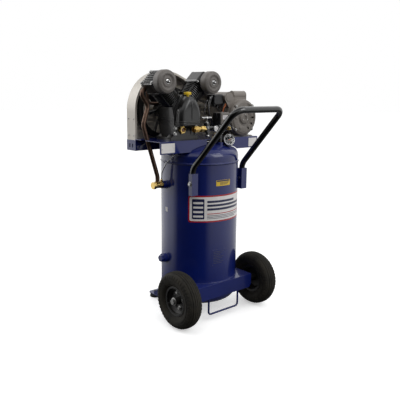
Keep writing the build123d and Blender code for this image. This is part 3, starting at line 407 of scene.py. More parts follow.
lp = W("ShaderNodeLightPath")
ms = W("ShaderNodeMixShader")
wo = W("ShaderNodeOutputWorld")
wl(lp.outputs["Is Camera Ray"], ms.inputs[0])
wl(bg.outputs[0], ms.inputs[1])
wl(bgc.outputs[0], ms.inputs[2])
wl(ms.outputs[0], wo.inputs[0])


def area(name, theta, elev, dist, size, energy, target=Vector((0, 0, 0.62)), color=(1, 1, 1), sy=None):
    """A soft box at an angle from the camera's side, + to its right."""
    t, e = radians(theta), radians(elev)
    d = (cdir * cos(t) + rdir * sin(t)) * cos(e) + Vector((0, 0, 1)) * sin(e)
    L = bpy.data.lights.new(name, "AREA")
    L.energy = energy
    L.color = color
    L.shape = "RECTANGLE"
    L.size = size
    L.size_y = sy or size
    o = bpy.data.objects.new(name, L)
    o.location = target + d * dist
    o.rotation_mode = "QUATERNION"
    o.rotation_quaternion = (-d).to_track_quat("-Z", "Y")
    SCN.collection.objects.link(o)
    return o


area("key", 58, 34, 3.0, 1.6, 26, sy=2.0)
area("top", -20, 78, 2.6, 1.8, 20).visible_glossy = False
area("rim", -110, 25, 3.0, 1.2, 14, sy=2.2)

bm = bmesh.new()
bmesh.ops.create_grid(bm, x_segments=24, y_segments=24, size=22.0)
me = bpy.data.meshes.new("floor")
bm.to_mesh(me)
bm.free()
floor = bpy.data.objects.new("floor", me)
SCN.collection.objects.link(floor)
kf = Mat("floor_pale")
fn = kf.noise(1.3, 3, 0.5)
kf.set(Base_Color=kf.mix(fn, (0.90, 0.90, 0.90, 1), (0.93, 0.93, 0.925, 1)), Roughness=0.62, Emission_Color=(1, 1, 1, 1), Emission_Strength=0.45,
       Normal=kf.bump(kf.noise(240.0, 3, 0.6), 0.03, 0.0006))
me.materials.append(kf.m)
floor.visible_glossy = False
floor.visible_diffuse = False

# ------------------------------------------------------------------ piece builders (millimetres from the tank axis)
def new_obj(name, bm, mats, body="frame", smooth=38):
    bmesh.ops.recalc_face_normals(bm, faces=bm.faces[:])
    me = bpy.data.meshes.new(name)
    bm.to_mesh(me)
    bm.free()
    for p in me.polygons:
        p.use_smooth = True
    me.set_sharp_from_angle(angle=radians(smooth))
    for m in mats if isinstance(mats, (list, tuple)) else [mats]:
        me.materials.append(m)
    ob = bpy.data.objects.new(name, me)
    SCN.collection.objects.link(ob)
    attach(ob, body)
    return ob


def basis(axis):
    w = Vector(axis).normalized()
    u = w.cross(Vector((0, 0, 1)))
    if u.length < 1e-3:
        u = Vector((1, 0, 0))
    u.normalize()
    return u, w.cross(u), w


def lathe(bm, prof, at, axis, n=40, mat=0, a0=0.0):
    """prof: (radius, distance along the axis) points; a radius of 0 closes on the axis."""
    u, v, w = basis(axis)
    c = Vector(at)
    rings = []
    for r, t in prof:
        if r <= 1e-6:
            rings.append([bm.verts.new(P(*(c + w * t)))])
        else:
            rings.append([bm.verts.new(P(*(c + w * t + (u * cos(a0 + 2 * pi * i / n) + v * sin(a0 + 2 * pi * i / n)) * r))) for i in range(n)])
    for a, b in zip(rings, rings[1:]):
        if len(a) == 1 and len(b) == 1:
            continue
        for i in range(n):
            j = (i + 1) % n
            if len(a) == 1:
                f = (a[0], b[j], b[i])
            elif len(b) == 1:
                f = (a[i], a[j], b[0])
            else:
                f = (a[i], a[j], b[j], b[i])
            bm.faces.new(f).material_index = mat


def ringlathe(bm, prof, at, axis, n=40, mat=0, a0=0.0):
    lathe(bm, list(prof) + [prof[0]], at, axis, n, mat, a0)
    bmesh.ops.remove_doubles(bm, verts=bm.verts[:], dist=1e-7)


def catmull(pts, n=10):
    p = [Vector(q) for q in pts]
    p = [p[0] * 2 - p[1]] + p + [p[-1] * 2 - p[-2]]
    out = []
    for i in range(1, len(p) - 2):
        for k in range(n):
            t = k / n
            out.append(0.5 * ((2 * p[i]) + (-p[i - 1] + p[i + 1]) * t + (2 * p[i - 1] - 5 * p[i] + 4 * p[i + 1] - p[i + 2]) * t * t + (-p[i - 1] + 3 * p[i] - 3 * p[i + 1] + p[i + 2]) * t ** 3))
    out.append(p[-2])
    return out


def sweep(bm, path, r, n=12, mat=0, closed=False, rad=None, sect=None):
    """Round (or sect = list of (a, b)) section along a path, kept from twisting."""
    path = [Vector(q) for q in path]
    m = len(path)
    tang = []
    for i in range(m):
        a = path[(i - 1) % m] if closed or i > 0 else path[0]
        b = path[(i + 1) % m] if closed or i < m - 1 else path[-1]
        tang.append((b - a).normalized())
    u, v, w = basis(tang[0])
    rings = []
    for i in range(m):
        t = tang[i]
        u = (u - t * u.dot(t)).normalized()
        v = t.cross(u)
        rr = rad(i / max(1, m - 1)) if rad else r
        if sect:
            rings.append([bm.verts.new(P(*(path[i] + u * a + v * b))) for a, b in sect])
        else:
            rings.append([bm.verts.new(P(*(path[i] + (u * cos(2 * pi * k / n) + v * sin(2 * pi * k / n)) * rr))) for k in range(n)])
    n = len(rings[0])
    for i in range(m if closed else m - 1):
        a, b = rings[i], rings[(i + 1) % m]
        for k in range(n):
            bm.faces.new((a[k], a[(k + 1) % n], b[(k + 1) % n], b[k])).material_index = mat
    if not closed:
        bm.faces.new(rings[0][::-1]).material_index = mat
        bm.faces.new(rings[-1]).material_index = mat


def plate(bm, at, u, v, w, poly, h, mat=0, bev=0.0):
    """Flat polygon in (u, v) raised by h along w, with its top edge chamfered."""
    at, u, v, w = Vector(at), Vector(u).normalized(), Vector(v).normalized(), Vector(w).normalized()
    cx = sum(p[0] for p in poly) / len(poly)
    cy = sum(p[1] for p in poly) / len(poly)
    lv = [(0, 0)] + ([(0, h - bev), (bev, h)] if bev else [(0, h)])
    rings = []
    for ins, t in lv:
        ring = []
        for a, b in poly:
            d = sqrt((a - cx) ** 2 + (b - cy) ** 2) or 1
            ring.append(bm.verts.new(P(*(at + u * (a - (a - cx) / d * ins) + v * (b - (b - cy) / d * ins) + w * t))))
        rings.append(ring)
    n = len(poly)
    for a, b in zip(rings, rings[1:]):
        for k in range(n):
            bm.faces.new((a[k], a[(k + 1) % n], b[(k + 1) % n], b[k])).material_index = mat
    bm.faces.new(rings[0][::-1]).material_index = mat
    bm.faces.new(rings[-1]).material_index = mat


def rrect(w, h, r, n=6, cx=0.0, cy=0.0):
    out = []
    for qx, qy, a in ((1, 1, 0), (-1, 1, 90), (-1, -1, 180), (1, -1, 270)):
        for k in range(n + 1):
            t = radians(a + 90.0 * k / n)
            out.append((cx + qx * (w / 2 - r) + r * cos(t), cy + qy * (h / 2 - r) + r * sin(t)))
    return out


def hexpoly(r, a0=0.0, n=6):
    return [(r * cos(a0 + 2 * pi * k / n), r * sin(a0 + 2 * pi * k / n)) for k in range(n)]


def bolt_head(bm, at, axis, r, h, washer=True, mat=0, a0=0.3, thread=0.0):
    u, v, w = basis(axis)
    c = Vector(at)
    if washer:
        lathe(bm, [(r * 0.6, 0), (r * 1.32, 0), (r * 1.38, 0.35), (r * 1.38, 1.0), (r * 1.3, 1.3), (r * 0.6, 1.3)], c, axis, 28, mat)
        c = c + w * 1.2
    plate(bm, c, u, v, w, hexpoly(r, a0), h, mat, bev=r * 0.12)
    if thread > 0:
        prof = [(0, h - 0.5)]
        z = h - 0.5
        prof.append((r * 0.52, z))
        while z < h + thread:
            prof += [(r * 0.52, z + 0.1), (r * 0.46, z + 0.6), (r * 0.52, z + 1.1)]
            z += 1.1
        prof += [(r * 0.4, z + 0.5), (0, z + 0.5)]
        lathe(bm, prof, c, axis, 20, mat)


def decal(bm, a0, a1, z0, z1, R, r=4.0, th=0.3, mat=0, seg=28):
    """Thin sticker wrapped round the receiver, with rounded corners; angles in degrees from the front."""
    s0, s1 = radians(a0) * R, radians(a1) * R
    xs = sorted(set([s0 + r * (1 - cos(k * pi / 10)) for k in range(6)] + [s1 - r * (1 - cos(k * pi / 10)) for k in range(6)] + [s0 + (s1 - s0) * k / seg for k in range(1, seg)]))
    xs = [x for i, x in enumerate(xs) if i == 0 or x - xs[i - 1] > 0.02]
    top = []
    for s in xs:
        d = min(s - s0, s1 - s, r)
        c = r - sqrt(max(0.0, r * r - (r - d) ** 2))
        col = []
        for q in (0, 1):
            rr = R - th if q else R
            a = s / R
            col += [bm.verts.new(P(rr * sin(a), -rr * cos(a), z0 + c)), bm.verts.new(P(rr * sin(a), -rr * cos(a), z1 - c))]
        top.append(col)
    for a, b in zip(top, top[1:]):
        for f in ((a[0], b[0], b[1], a[1]), (a[2], a[3], b[3], b[2]), (a[1], b[1], b[3], a[3]), (a[0], a[2], b[2], b[0])):
            bm.faces.new(f).material_index = mat
    for a in (top[0], top[-1]):
        bm.faces.new((a[0], a[1], a[3], a[2])).material_index = mat


def bead(bm, path, r=2.0, closed=False, mat=0, pitch=3.2):
    """Weld bead: overlapping scallops along a path."""
    path = [Vector(q) for q in path]
    L = sum((b - a).length for a, b in zip(path, path[1:]))
    m = max(8, int(L / 1.1))
    acc, out, i, s = 0.0, [], 0, 0.0
    for k in range(m + 1):
        t = L * k / m
        while i < len(path) - 2 and s + (path[i + 1] - path[i]).length < t:
            s += (path[i + 1] - path[i]).length
            i += 1
        seg = (path[i + 1] - path[i]).length or 1
        out.append(path[i].lerp(path[i + 1], min(1.0, (t - s) / seg)))
    if closed:
        out = out[:-1]
    sweep(bm, out, r, 8, mat, closed, rad=lambda f: r * (0.86 + 0.16 * abs(sin(pi * f * L / pitch)) + 0.06 * sin(f * 41.0)))


def arc_on_tank(a0, a1, z, R, n=60):
    return [(R * sin(radians(a0 + (a1 - a0) * k / n)), -R * cos(radians(a0 + (a1 - a0) * k / n)), z) for k in range(n + 1)]


# ------------------------------------------------------------------ extra finishes
M["vinyl_white"] = plastic("vinyl_white", srgb(232, 229, 228), srgb(218, 215, 213), rough=0.34, grain=0.03, coat=0.3, bev=0.0002)
M["vinyl_red"] = plastic("vinyl_red", srgb(176, 28, 38), srgb(150, 22, 32), rough=0.36, grain=0.03, coat=0.3, bev=0.0002)
M["vinyl_navy"] = plastic("vinyl_navy", srgb(28, 34, 74), srgb(22, 27, 62), rough=0.36, grain=0.03, coat=0.3, bev=0.0002)
M["vinyl_yellow"] = plastic("vinyl_yellow", srgb(226, 190, 46), srgb(208, 170, 34), rough=0.36, grain=0.03, coat=0.3, bev=0.0002)
M["foil_grey"] = plastic("foil_grey", srgb(112, 114, 124), srgb(94, 97, 110), rough=0.32, grain=0.04, coat=0.4, bev=0.0002)
M["wire_orange"] = plastic("wire_orange", srgb(196, 112, 62), srgb(160, 84, 44), rough=0.42, grain=0.06)
M["cable_black"] = plastic("cable_black", srgb(20, 20, 21), srgb(30, 30, 31), rough=0.26, grain=0.06, coat=0.6)
M["weld_blue"] = M["tank_blue"]
kg = Mat("gauge_glass")
kg.set(Base_Color=(0.98, 0.99, 1, 1), Roughness=kg.ramp(kg.noise(60.0, 5, 0.7), (0.4, 0.015), (0.8, 0.06)), IOR=1.45, Transmission_Weight=1.0, Normal=kg.bump(kg.noise(30.0, 2, 0.5), 0.02, 0.0004))
M["glass"] = kg.m
ko = Mat("oil_amber")
on = ko.noise(40.0, 4, 0.6)
ko.set(Base_Color=ko.mix(on, srgb(150, 86, 22), srgb(96, 50, 12)), Roughness=ko.math("ADD", ko.math("MULTIPLY", on, 0.1), 0.08), Coat_Weight=1.0, Coat_Roughness=0.03, Normal=ko.bump(on, 0.05, 0.0005))
M["oil"] = ko.m

# ------------------------------------------------------------------ stickers and plates
bm = bmesh.new()
decal(bm, -56, 56, 455, 575, 178.30, 9, mat=0)
decal(bm, -54.0, 54.0, 461.5, 568.5, 178.50, 6, mat=1)
decal(bm, -50.5, -33, 470, 560, 178.66, 4, mat=2)
for k in range(4):
    decal(bm, -48.8, -34.7, 478 + 20 * k, 487 + 20 * k, 178.8, 2, mat=1, seg=8)
for k, (b0, b1) in enumerate([(-29, 20), (-29, 44), (-29, 36)]):
    decal(bm, b0, b1, 542 - 17 * k, 552 - 17 * k, 178.66, 2.5, mat=2)
decal(bm, -29, 49, 491, 494.5, 178.66, 1.5, mat=0)
for k in range(3):
    decal(bm, -29, 49 - 13 * k, 483 - 6.5 * k, 486 - 6.5 * k, 178.66, 1.2, mat=3)
new_obj("front_label", bm, [M["vinyl_red"], M["vinyl_white"], M["vinyl_navy"], M["foil_grey"]])
bm = bmesh.new()
decal(bm, -16, 9, 615, 641, 178.3, 3, mat=0)
decal(bm, -15.2, 8.2, 634, 640, 178.45, 1.5, mat=1)
for k in range(3):
    decal(bm, -10, 7 - 2 * k, 629 - 4.2 * k, 631 - 4.2 * k, 178.45, 0.8, mat=2, seg=10)
new_obj("yellow_sticker", bm, [M["vinyl_yellow"], M["vinyl_navy"], M["vinyl_navy"]])
bm = bmesh.new()
decal(bm, -21, 2, 250, 327, 178.5, 3, th=0.6, mat=0)
for k in range(8):
    decal(bm, -19, -1 - 3 * (k % 3), 315 - 7.6 * k, 317.4 - 7.6 * k, 178.64, 0.8, mat=1, seg=8)
for a in (-19.6, 0.6):
    for z in (254, 323):
        lathe(bm, [(0, 1.6), (1.2, 1.3), (1.9, 0.5), (2.0, 0)], (178.4 * sin(radians(a)), -178.4 * cos(radians(a)), z), (sin(radians(a)), -cos(radians(a)), 0), 12, mat=0)
new_obj("data_plate", bm, [M["tank_blue"], M["vinyl_navy"]])
bm = bmesh.new()
for a in (-96.0,):
    c = Vector((178.2 * sin(radians(a)), -178.2 * cos(radians(a)), 497))
    t = Vector((cos(radians(a)), sin(radians(a)), 0))
    nrm = Vector((sin(radians(a)), -cos(radians(a)), 0))
    plate(bm, c - nrm * 0.2, t, (0, 0, 1), nrm, rrect(16, 20, 2.5), 0.45, 0)
    for k in range(3):
        plate(bm, c + nrm * 0.22 + Vector((0, 0, 5 - 5 * k)), t, (0, 0, 1), nrm, rrect(11 - 2 * k, 1.6, 0.6, 3), 0.12, 1)
new_obj("small_sticker", bm, [M["vinyl_white"], M["vinyl_navy"]])
bm = bmesh.new()
for x0, x1 in ((-292, -222), (216, 269)):
    plate(bm, ((x0 + x1) / 2, -100.0, 787), (1, 0, 0), (0, 0, 1), (0, -1, 0), rrect(x1 - x0, 40, 2.5), 0.7, 0, bev=0.2)
    for dx in (-1, 1):
        lathe(bm, [(0, 2.0), (1.6, 1.6), (2.3, 0.7), (2.3, 0)], ((x0 + x1) / 2 + dx * ((x1 - x0) / 2 - 5), -100.6, 787), (0, -1, 0), 14, mat=0)
new_obj("deck_end_plates", bm, [M["vinyl_white"]])

# ------------------------------------------------------------------ welds on the receiver
bm = bmesh.new()
for zs in (129.0, 711.0):
    bead(bm, arc_on_tank(-180, 180, zs, 179.3, 220), 2.1, closed=True)
bead(bm, arc_on_tank(-59, 59, 171.6, 179.0), 2.2)
for sx in (-1, 1):
    for xx, s in ((134.6, 1), (131.2, -1)):
        yy = -sqrt(178.4 ** 2 - xx ** 2)
        bead(bm, [(sx * xx, yy, 582), (sx * xx, yy, 628), (sx * xx, yy, 674)], 2.0)
for py_, pz, rr in ((22, 611.0, 17.0), (24, 269.0, 21.0)):
    pts = []
    for k in range(49):
        t = 2 * pi * k / 48
        y = py_ + (rr + 1.2) * cos(t)
        pts.append((-sqrt(178.6 ** 2 - y * y), y, pz + (rr + 1.2) * sin(t)))
    bead(bm, pts, 2.4, closed=True)


def crown(x, y, off=0.5):
    rr = sqrt(x * x + y * y)
    h = 380.0 - sqrt(340.0 ** 2 - 138.0 ** 2)
    return 735.0 + (h - 380.0) + sqrt(380.0 ** 2 - rr * rr) + off if rr < 154 else 735.0 + sqrt(max(0, 40.0 ** 2 - (rr - 138.0) ** 2)) + off


for cx_, cy_, rr in ((22.0, -112.0, 15.0), (66.0, -90.0, 9.0)):
    bead(bm, [(cx_ + (rr + 1.2) * cos(2 * pi * k / 36), cy_ + (rr + 1.2) * sin(2 * pi * k / 36), crown(cx_ + (rr + 1.2) * cos(2 * pi * k / 36), cy_ + (rr + 1.2) * sin(2 * pi * k / 36))) for k in range(37)], 2.0, closed=True)
for xx in (-88.0, -81.6, 81.6, 88.0):
    bead(bm, [(xx, -70 + 5 * k, crown(xx, -70 + 5 * k)) for k in range(28)], 1.9)
for fx in (-1, 1):
    for d in (-2.6, 2.6):
        xx = fx * 104 - 2 + fx * 24 + 2 + d
        yy = sqrt(178.4 ** 2 - xx ** 2)
        bead(bm, [(xx, yy, 107), (xx, yy, 92), (xx, yy, 78)], 1.7)
new_obj("weld_beads", bm, [M["weld_blue"]], smooth=80)

# ------------------------------------------------------------------ tyres: shoulder blocks, sidewall ribs, valve, bolt heads
def circ3(a, b, c):
    ax, ay, bx, by, cx, cy = *a, *b, *c
    d = 2 * (ax * (by - cy) + bx * (cy - ay) + cx * (ay - by))
    ux = ((ax * ax + ay * ay) * (by - cy) + (bx * bx + by * by) * (cy - ay) + (cx * cx + cy * cy) * (ay - by)) / d
    uy = ((ax * ax + ay * ay) * (cx - bx) + (bx * bx + by * by) * (ax - cx) + (cx * cx + cy * cy) * (bx - ax)) / d
    return ux, uy, sqrt((ax - ux) ** 2 + (ay - uy) ** 2)


SHO = circ3((21.8, 67.0), (37.0, 94.0), (27.0, 120.0))


def side_pt(r, off):
    """x, r of a point on the tyre's side at radius r, off proud of it."""
    ux, uy, rr = SHO
    a = math.asin(max(-1, min(1, (r - uy) / rr)))
    return ux + (rr + off) * cos(a), uy + (rr + off) * sin(a)


for sx, nm in ((-1, "left"), (1, "right")):
    cx = sx * 232.5
    bm = bmesh.new()

    def wp(x, r, a):
        return P(cx + x, -145.5 + r * cos(a), 127.5 + r * sin(a))

    NB = 44
    for side in (-1, 1):
        for k in range(NB):
            a0 = 2 * pi * k / NB + (0.07 if side > 0 else 0)
            aw = 2 * pi / NB * 0.62
            prof = [side_pt(r, 0.0) for r in (101, 106, 111, 116)]
            top = [side_pt(102.5, 1.7), side_pt(106, 2.2), side_pt(111, 2.2), side_pt(115, 1.9)]
            cols = []
            for j in range(4):
                a = a0 + aw * j / 3
                ins = 0.004 if j in (0, 3) else 0
                cols.append(([bm.verts.new(wp(side * x, r, a)) for x, r in prof],
                             [bm.verts.new(wp(side * x, r, a + (ins if j == 0 else -ins))) for x, r in top]))
            for (b0, t0), (b1, t1) in zip(cols, cols[1:]):
                for q in range(3):
                    bm.faces.new((t0[q], t0[q + 1], t1[q + 1], t1[q]))
                    bm.faces.new((b0[q], b1[q], b1[q + 1], b0[q + 1]))
                bm.faces.new((b0[0], t0[0], t1[0], b1[0]))
                bm.faces.new((b0[3], b1[3], t1[3], t0[3]))
            for b, t in (cols[0], cols[-1]):
                bm.faces.new(b + t[::-1])
        for r, w in ((73.0, 1.0), (79.0, 0.7), (95.5, 0.9), (98.0, 0.6)):
            x, rr = side_pt(r, 0.2)
            sweep(bm, [(cx + side * x, -145.5 + rr * cos(2 * pi * k / 72), 127.5 + rr * sin(2 * pi * k / 72)) for k in range(72)], w, 8, 0, True)
    # cross sipes: proud bars between the tread grooves
    for k in range(66):
        a = 2 * pi * k / 66
        for g in (-15, -5, 5, 15):
            aa = a + (0.024 if g in (-5, 15) else 0)
            rr = 126.9 - 0.0065 * g * g
            dx = 2.6
            vs = []
            for x_, a_ in ((g - dx, aa), (g + dx, aa + 0.018), (g + dx, aa + 0.046), (g - dx, aa + 0.028)):
                vs.append((bm.verts.new(wp(x_, rr - 1.6, a_)), bm.verts.new(wp(x_, rr + 0.35, a_))))
            bm.faces.new([v[1] for v in vs])
            bm.faces.new([v[0] for v in vs][::-1])
            for q in range(4):
                bm.faces.new((vs[q][0], vs[(q + 1) % 4][0], vs[(q + 1) % 4][1], vs[q][1]))
    new_obj("tyre_tread_" + nm, bm, [M["tyre"]], "wheel_" + nm, smooth=30)
    bm = bmesh.new()
    for k in range(4):
        a = radians(77 + 90 * k)
        bolt_head(bm, (cx + sx * 3.0, -145.5 + 35 * cos(a), 127.5 + 35 * sin(a)), (sx, 0, 0), 7.3, 6.6, True, 0, a0=0.2 * k)
    lathe(bm, [(16.9, 28.5), (17.2, 30.2), (14.5, 31.0), (13.4, 31.0), (13.4, 28.5), (16.9, 28.5)], (cx, -145.5, 127.5), (sx, 0, 0), 36, 0)
    new_obj("rim_bolts_" + nm, bm, [M["zinc"]], "wheel_" + nm)
    bm = bmesh.new()
    a = radians(-28)
    vx = [(0, 0), (4.2, 0), (4.2, 3), (3.0, 5), (3.0, 15), (3.5, 15.3), (3.5, 22), (2.9, 23), (0, 23)]
    lathe(bm, vx, (cx + sx * 9, -145.5 + 49 * cos(a), 127.5 + 49 * sin(a)), (sx, -0.35 * cos(a), -0.35 * sin(a)), 18)
    for t in (16.2, 17.8, 19.4, 21.0):
        w = Vector((sx, -0.35 * cos(a), -0.35 * sin(a))).normalized()
        c = Vector((cx + sx * 9, -145.5 + 49 * cos(a), 127.5 + 49 * sin(a))) + w * t
        u, v, _ = basis(w)
        sweep(bm, [c + (u * cos(2 * pi * k / 18) + v * sin(2 * pi * k / 18)) * 3.5 for k in range(18)], 0.35, 6, 0, True)
    new_obj("tyre_valve_" + nm, bm, [M["rubber"]], "wheel_" + nm)
    # pressed ribs round the disc
    bm = bmesh.new()
    for k in range(4):
        a = radians(32 + 90 * k)
        x_ = cx + sx * 3.0
        pts = [(x_, -145.5 + r * cos(a), 127.5 + r * sin(a)) for r in (22, 28, 34, 40)]
        sweep(bm, pts, 3.0, 12, 0, rad=lambda f: 1.2 + 2.2 * sin(pi * min(1, max(0, f))))
    for r_, w_ in ((65.2, 0.9), (61.0, 0.6)):
        sweep(bm, [(cx + sx * 25.0, -145.5 + r_ * cos(2 * pi * k / 72), 127.5 + r_ * sin(2 * pi * k / 72)) for k in range(72)], w_, 8, 0, True)
    new_obj("rim_ribs_" + nm, bm, [M["rim_black"]], "wheel_" + nm)

# ------------------------------------------------------------------ pump: ribs round the bell and the case, bosses, bolts
bm = bmesh.new()
for z, d in ((881.0, 2.2), (887.5, 2.4), (894.0, 2.4)):
    pts = [(-198.4, -71, z)]
    for k in range(9):
        t = radians(180 + 90 * k / 8)
        pts.append((-176 + 22.2 * cos(t), -91 + 22.2 * sin(t), z))
    for k in range(9):
        t = radians(270 + 90 * k / 8)
        pts.append((-104 + 22.2 * cos(t), -91 + 22.2 * sin(t), z))
    pts.append((-81.6, -71, z))
    sweep(bm, pts, d, 10)
for z in (884, 891, 898, 905):
    for sx in (-1, 1):
        x_ = -140 + sx * (62.3 + (z - 880) * 3 / 73.0 * (1 if sx < 0 else 1))
        sweep(bm, [(x_, -62, z), (x_, -30, z), (x_, 10, z), (x_, 38, z)], 1.8, 8, 0, rad=lambda f: 1.9 - 0.7 * abs(2 * f - 1) ** 8)
# rounded rib up the bell's face and over its shoulder
sweep(bm, [(-140, -112.6, 897), (-140, -112.9, 915), (-140, -112.9, 940), (-140, -112.7, 962), (-140, -111.2, 974), (-140, -107.5, 984), (-140, -101.5, 992), (-140, -93, 997)], 3.0, 10, 0, rad=lambda f: 2.6 * min(1, 0.3 + 6 * min(f, 1 - f)))
# filler neck boss
lathe(bm, [(0, -12), (17, -12), (15.5, -6), (14, -1.5), (13, 0), (7.8, 0), (7.8, -2), (0, -2)], (-140, -81, 998.5), (0, 0, 1), 32)
# casting webs under the flange
for xx in (-190, -168, -112, -90):
    sweep(bm, [(xx, -70.8, 836), (xx, -72.2, 848), (xx, -72.6, 862), (xx, -71, 876)], 2.0, 8, 0, rad=lambda f: 2.6 * (1 - 0.5 * abs(2 * f - 1)))
# mounting lugs round the foot
for sx in (-1, 1):
    for yy in (-42, 22):
        lathe(bm, [(9.2, -3), (12.5, -3), (12, 0.6), (10.5, 1.2), (9.2, 1.2), (9.2, -3)], (-140 + sx * 67, yy, 826), (0, 0, 1), 28)
new_obj("case_ribs", bm, [M["cast_black"]], smooth=50)

# fin webs down the sides of each barrel, and head cover nuts
C45 = 0.70710678


def cpt(side, d, w, u=0.0):
    """Point d along a cylinder's axis, w across it, u towards the back."""
    return Vector((-140 + side * C45 * (d + w), -15 + u, 936 + C45 * (d - w)))


bm = bmesh.new()
for side in (-1, 1):
    ax = Vector((side * C45, 0, C45))
    for w_, u_ in ((33, 28), (-33, 28), (33, -28), (-33, -28)):
        pts = [cpt(side, d, w_ * 0.93, u_ * 0.93) for d in (64, 90, 115, 137)]
        sweep(bm, pts, 3.4, 10, 0)
    for w_ in (-26.2, -15.7, -5.2, 5.2, 15.7, 26.2):
        pts = [cpt(side, 195.2, w_, u) for u in (-27, -10, 10, 27)]
        sweep(bm, pts, 1.5, 8, 0, rad=lambda f: 1.7 * (1 - abs(2 * f - 1) ** 6 * 0.6))
new_obj("barrel_studs", bm, [M["cast_black"]], smooth=50)
bm = bmesh.new()
for side in (-1, 1):
    ax = (side * C45, 0, C45)
    for u in (-36, 36):
        for w in (-32, 32):
            bolt_head(bm, cpt(side, 195.0, w, u), ax, 7.0, 4.9, True, 0, a0=0.1 * u)
for bx, bz in ((-198, 842), (-198, 866), (-82, 842), (-82, 866)):
    bolt_head(bm, (bx, -70.9, bz), (0, -1, 0), 6.5, 4.4, True, 0, a0=0.4)
for bx, by in ((-207, -42), (-207, 22), (-73, -42), (-73, 22)):
    bolt_head(bm, (bx, by, 825.6), (0, 0, 1), 7.9, 6.2, False, 0, a0=0.5, thread=4)
for bx, by in ((130, -42), (130, 22), (262, -42), (262, 22)):
    bolt_head(bm, (bx, by, 816.6), (0, 0, 1), 7.9, 5.2, True, 0, a0=0.7, thread=5)
for sx in (-1, 1):
    hx = sx * 148
    bolt_head(bm, (hx + sx * 16.4, -131.5, 631), (sx, 0, 0), 8.0, 5.4, True, 0)
new_obj("bolt_heads", bm, [M["zinc"]])

# oil sight lens, oil cap ribs
bm = bmesh.new()
lathe(bm, [(0, -1.4), (9.3, -1.4), (9.3, 0.2), (7.5, 1.1), (4, 1.7), (0, 1.9)], (-163, -81, 858.5), (0, -1, 0), 32, 0)
new_obj("sight_lens", bm, [M["oil"]])
bm = bmesh.new()
for k in range(24):
    a = 2 * pi * k / 24
    sweep(bm, [(-140 + 14.7 * cos(a), -81 + 14.7 * sin(a), z) for z in (1006, 1009, 1012, 1015.2)], 1.05, 8, 0)
lathe(bm, [(0, 1016.9), (7.5, 1016.9), (9, 1016.2), (9.5, 1015.6), (12.6, 1015.6), (13.8, 1016.6), (15.2, 1015.6), (15.4, 1014), (14, 1014)], (-140, -81, 0), (0, 0, 1), 40)
new_obj("oil_cap_ribs", bm, [M["plastic_yellow"]])

# ------------------------------------------------------------------ intake filters
bm = bmesh.new()
for fx, fz in ((-263.0, 1057.0), (-14.0, 1057.0)):
    lathe(bm, [(3, 0), (9.5, 0), (9.8, 0.4), (9.8, 1.3), (9, 1.5), (3, 1.5), (3, 0)], (fx, -106, fz), (0, -1, 0), 30)
    plate(bm, (fx, -107.4, fz), (1, 0, 0), (0, 0, 1), (0, -1, 0), hexpoly(7.2, 0.3), 6.0, 0, bev=0.8)
    lathe(bm, [(5.6, 5.8), (5.6, 6.6), (4.6, 9.5), (2.6, 11.2), (0, 11.8)], (fx, -107.4, fz), (0, -1, 0), 26)
new_obj("filter_nuts", bm, [M["chrome"]])
bm = bmesh.new()
for fx, fz in ((-263.0, 1057.0), (-14.0, 1057.0)):
    for r, t in ((24.5, 106.5), (27.0, 106.9), (33.5, 109.0), (41.6, 106.7)):
        sweep(bm, [(fx + r * cos(2 * pi * k / 56), -t, fz + r * sin(2 * pi * k / 56)) for k in range(56)], 0.55, 6, 0, True)
    for k in range(48):
        a = 2 * pi * k / 48
        sweep(bm, [(fx + 47.7 * cos(a), y, fz + 47.7 * sin(a)) for y in (-75, -81, -87, -93)], 0.72, 6, 0)
new_obj("filter_ribs", bm, [M["plastic_grey"]])

# ------------------------------------------------------------------ belt guard: louvre hoods, screws
bm = bmesh.new()
for k in range(12):
    zz = 842.0 + 20.0 * k
    if zz < 934:
        x0, x1 = -276.0, 252.0
    else:
        half = sqrt(max(0.0, 150.0 ** 2 - (zz - 934.0) ** 2))
        x0 = -124.0 - half
        x1 = min(250.0, (1070.0 - zz) / 0.4255 - 40.0)
    if x1 - x0 > 60:
        n = max(1, int((x1 - x0) // 130))
        w = (x1 - x0 - 14.0 * (n - 1)) / n
        for j in range(n):
            c = x0 + w / 2 + j * (w + 14.0)
            rings = []
            m = 22
            for i in range(m + 1):
                f = i / m
                x = c - (w / 2 + 2.0) + (w + 4.0) * f
                s = min(1.0, min(f, 1 - f) * (w + 4) / 7.0)
                s = sin(s * pi / 2)
                d = 0.2 + 4.6 * s
                rings.append([bm.verts.new(P(x, 149 + dd, z)) for dd, z in (
                    (-0.2, zz + 5.6), (d * 0.55, zz + 4.6), (d * 0.9, zz + 2.0), (d, zz - 1.6), (d * 0.98, zz - 3.6), (max(0.1, d - 0.9), zz - 3.6), (max(0.05, d - 1.0), zz - 1.4), (max(0.02, d * 0.78 - 0.6), zz + 1.6), (-0.2, zz + 4.4))])
            for a, b in zip(rings, rings[1:]):
                for q in range(len(a)):
                    r_ = (q + 1) % len(a)
                    bm.faces.new((a[q], a[r_], b[r_], b[q]))
            bm.faces.new(rings[0][::-1])
            bm.faces.new(rings[-1])
new_obj("guard_louvres", bm, [M["guard_silver"]], smooth=50)
bm = bmesh.new()
for x_, z_ in ((-286, 822), (-286, 930), (-206, 1068), (-124, 1096), (20, 1036), (160, 970), (264, 890), (264, 822), (-10, 820), (120, 820)):
    lathe(bm, [(0, 3.0), (2.2, 2.8), (4.2, 1.6), (4.6, 0.4), (6.6, 0.4), (6.8, 0), (4, -0.4), (0, -0.4)], (x_, 149.2, z_), (0, 1, 0), 22)
    plate(bm, (x_, 151.9, z_), (1, 0, 0), (0, 0, 1), (0, 1, 0), [(-2.6, -0.5), (2.6, -0.5), (2.6, 0.5), (-2.6, 0.5)], 0.35)
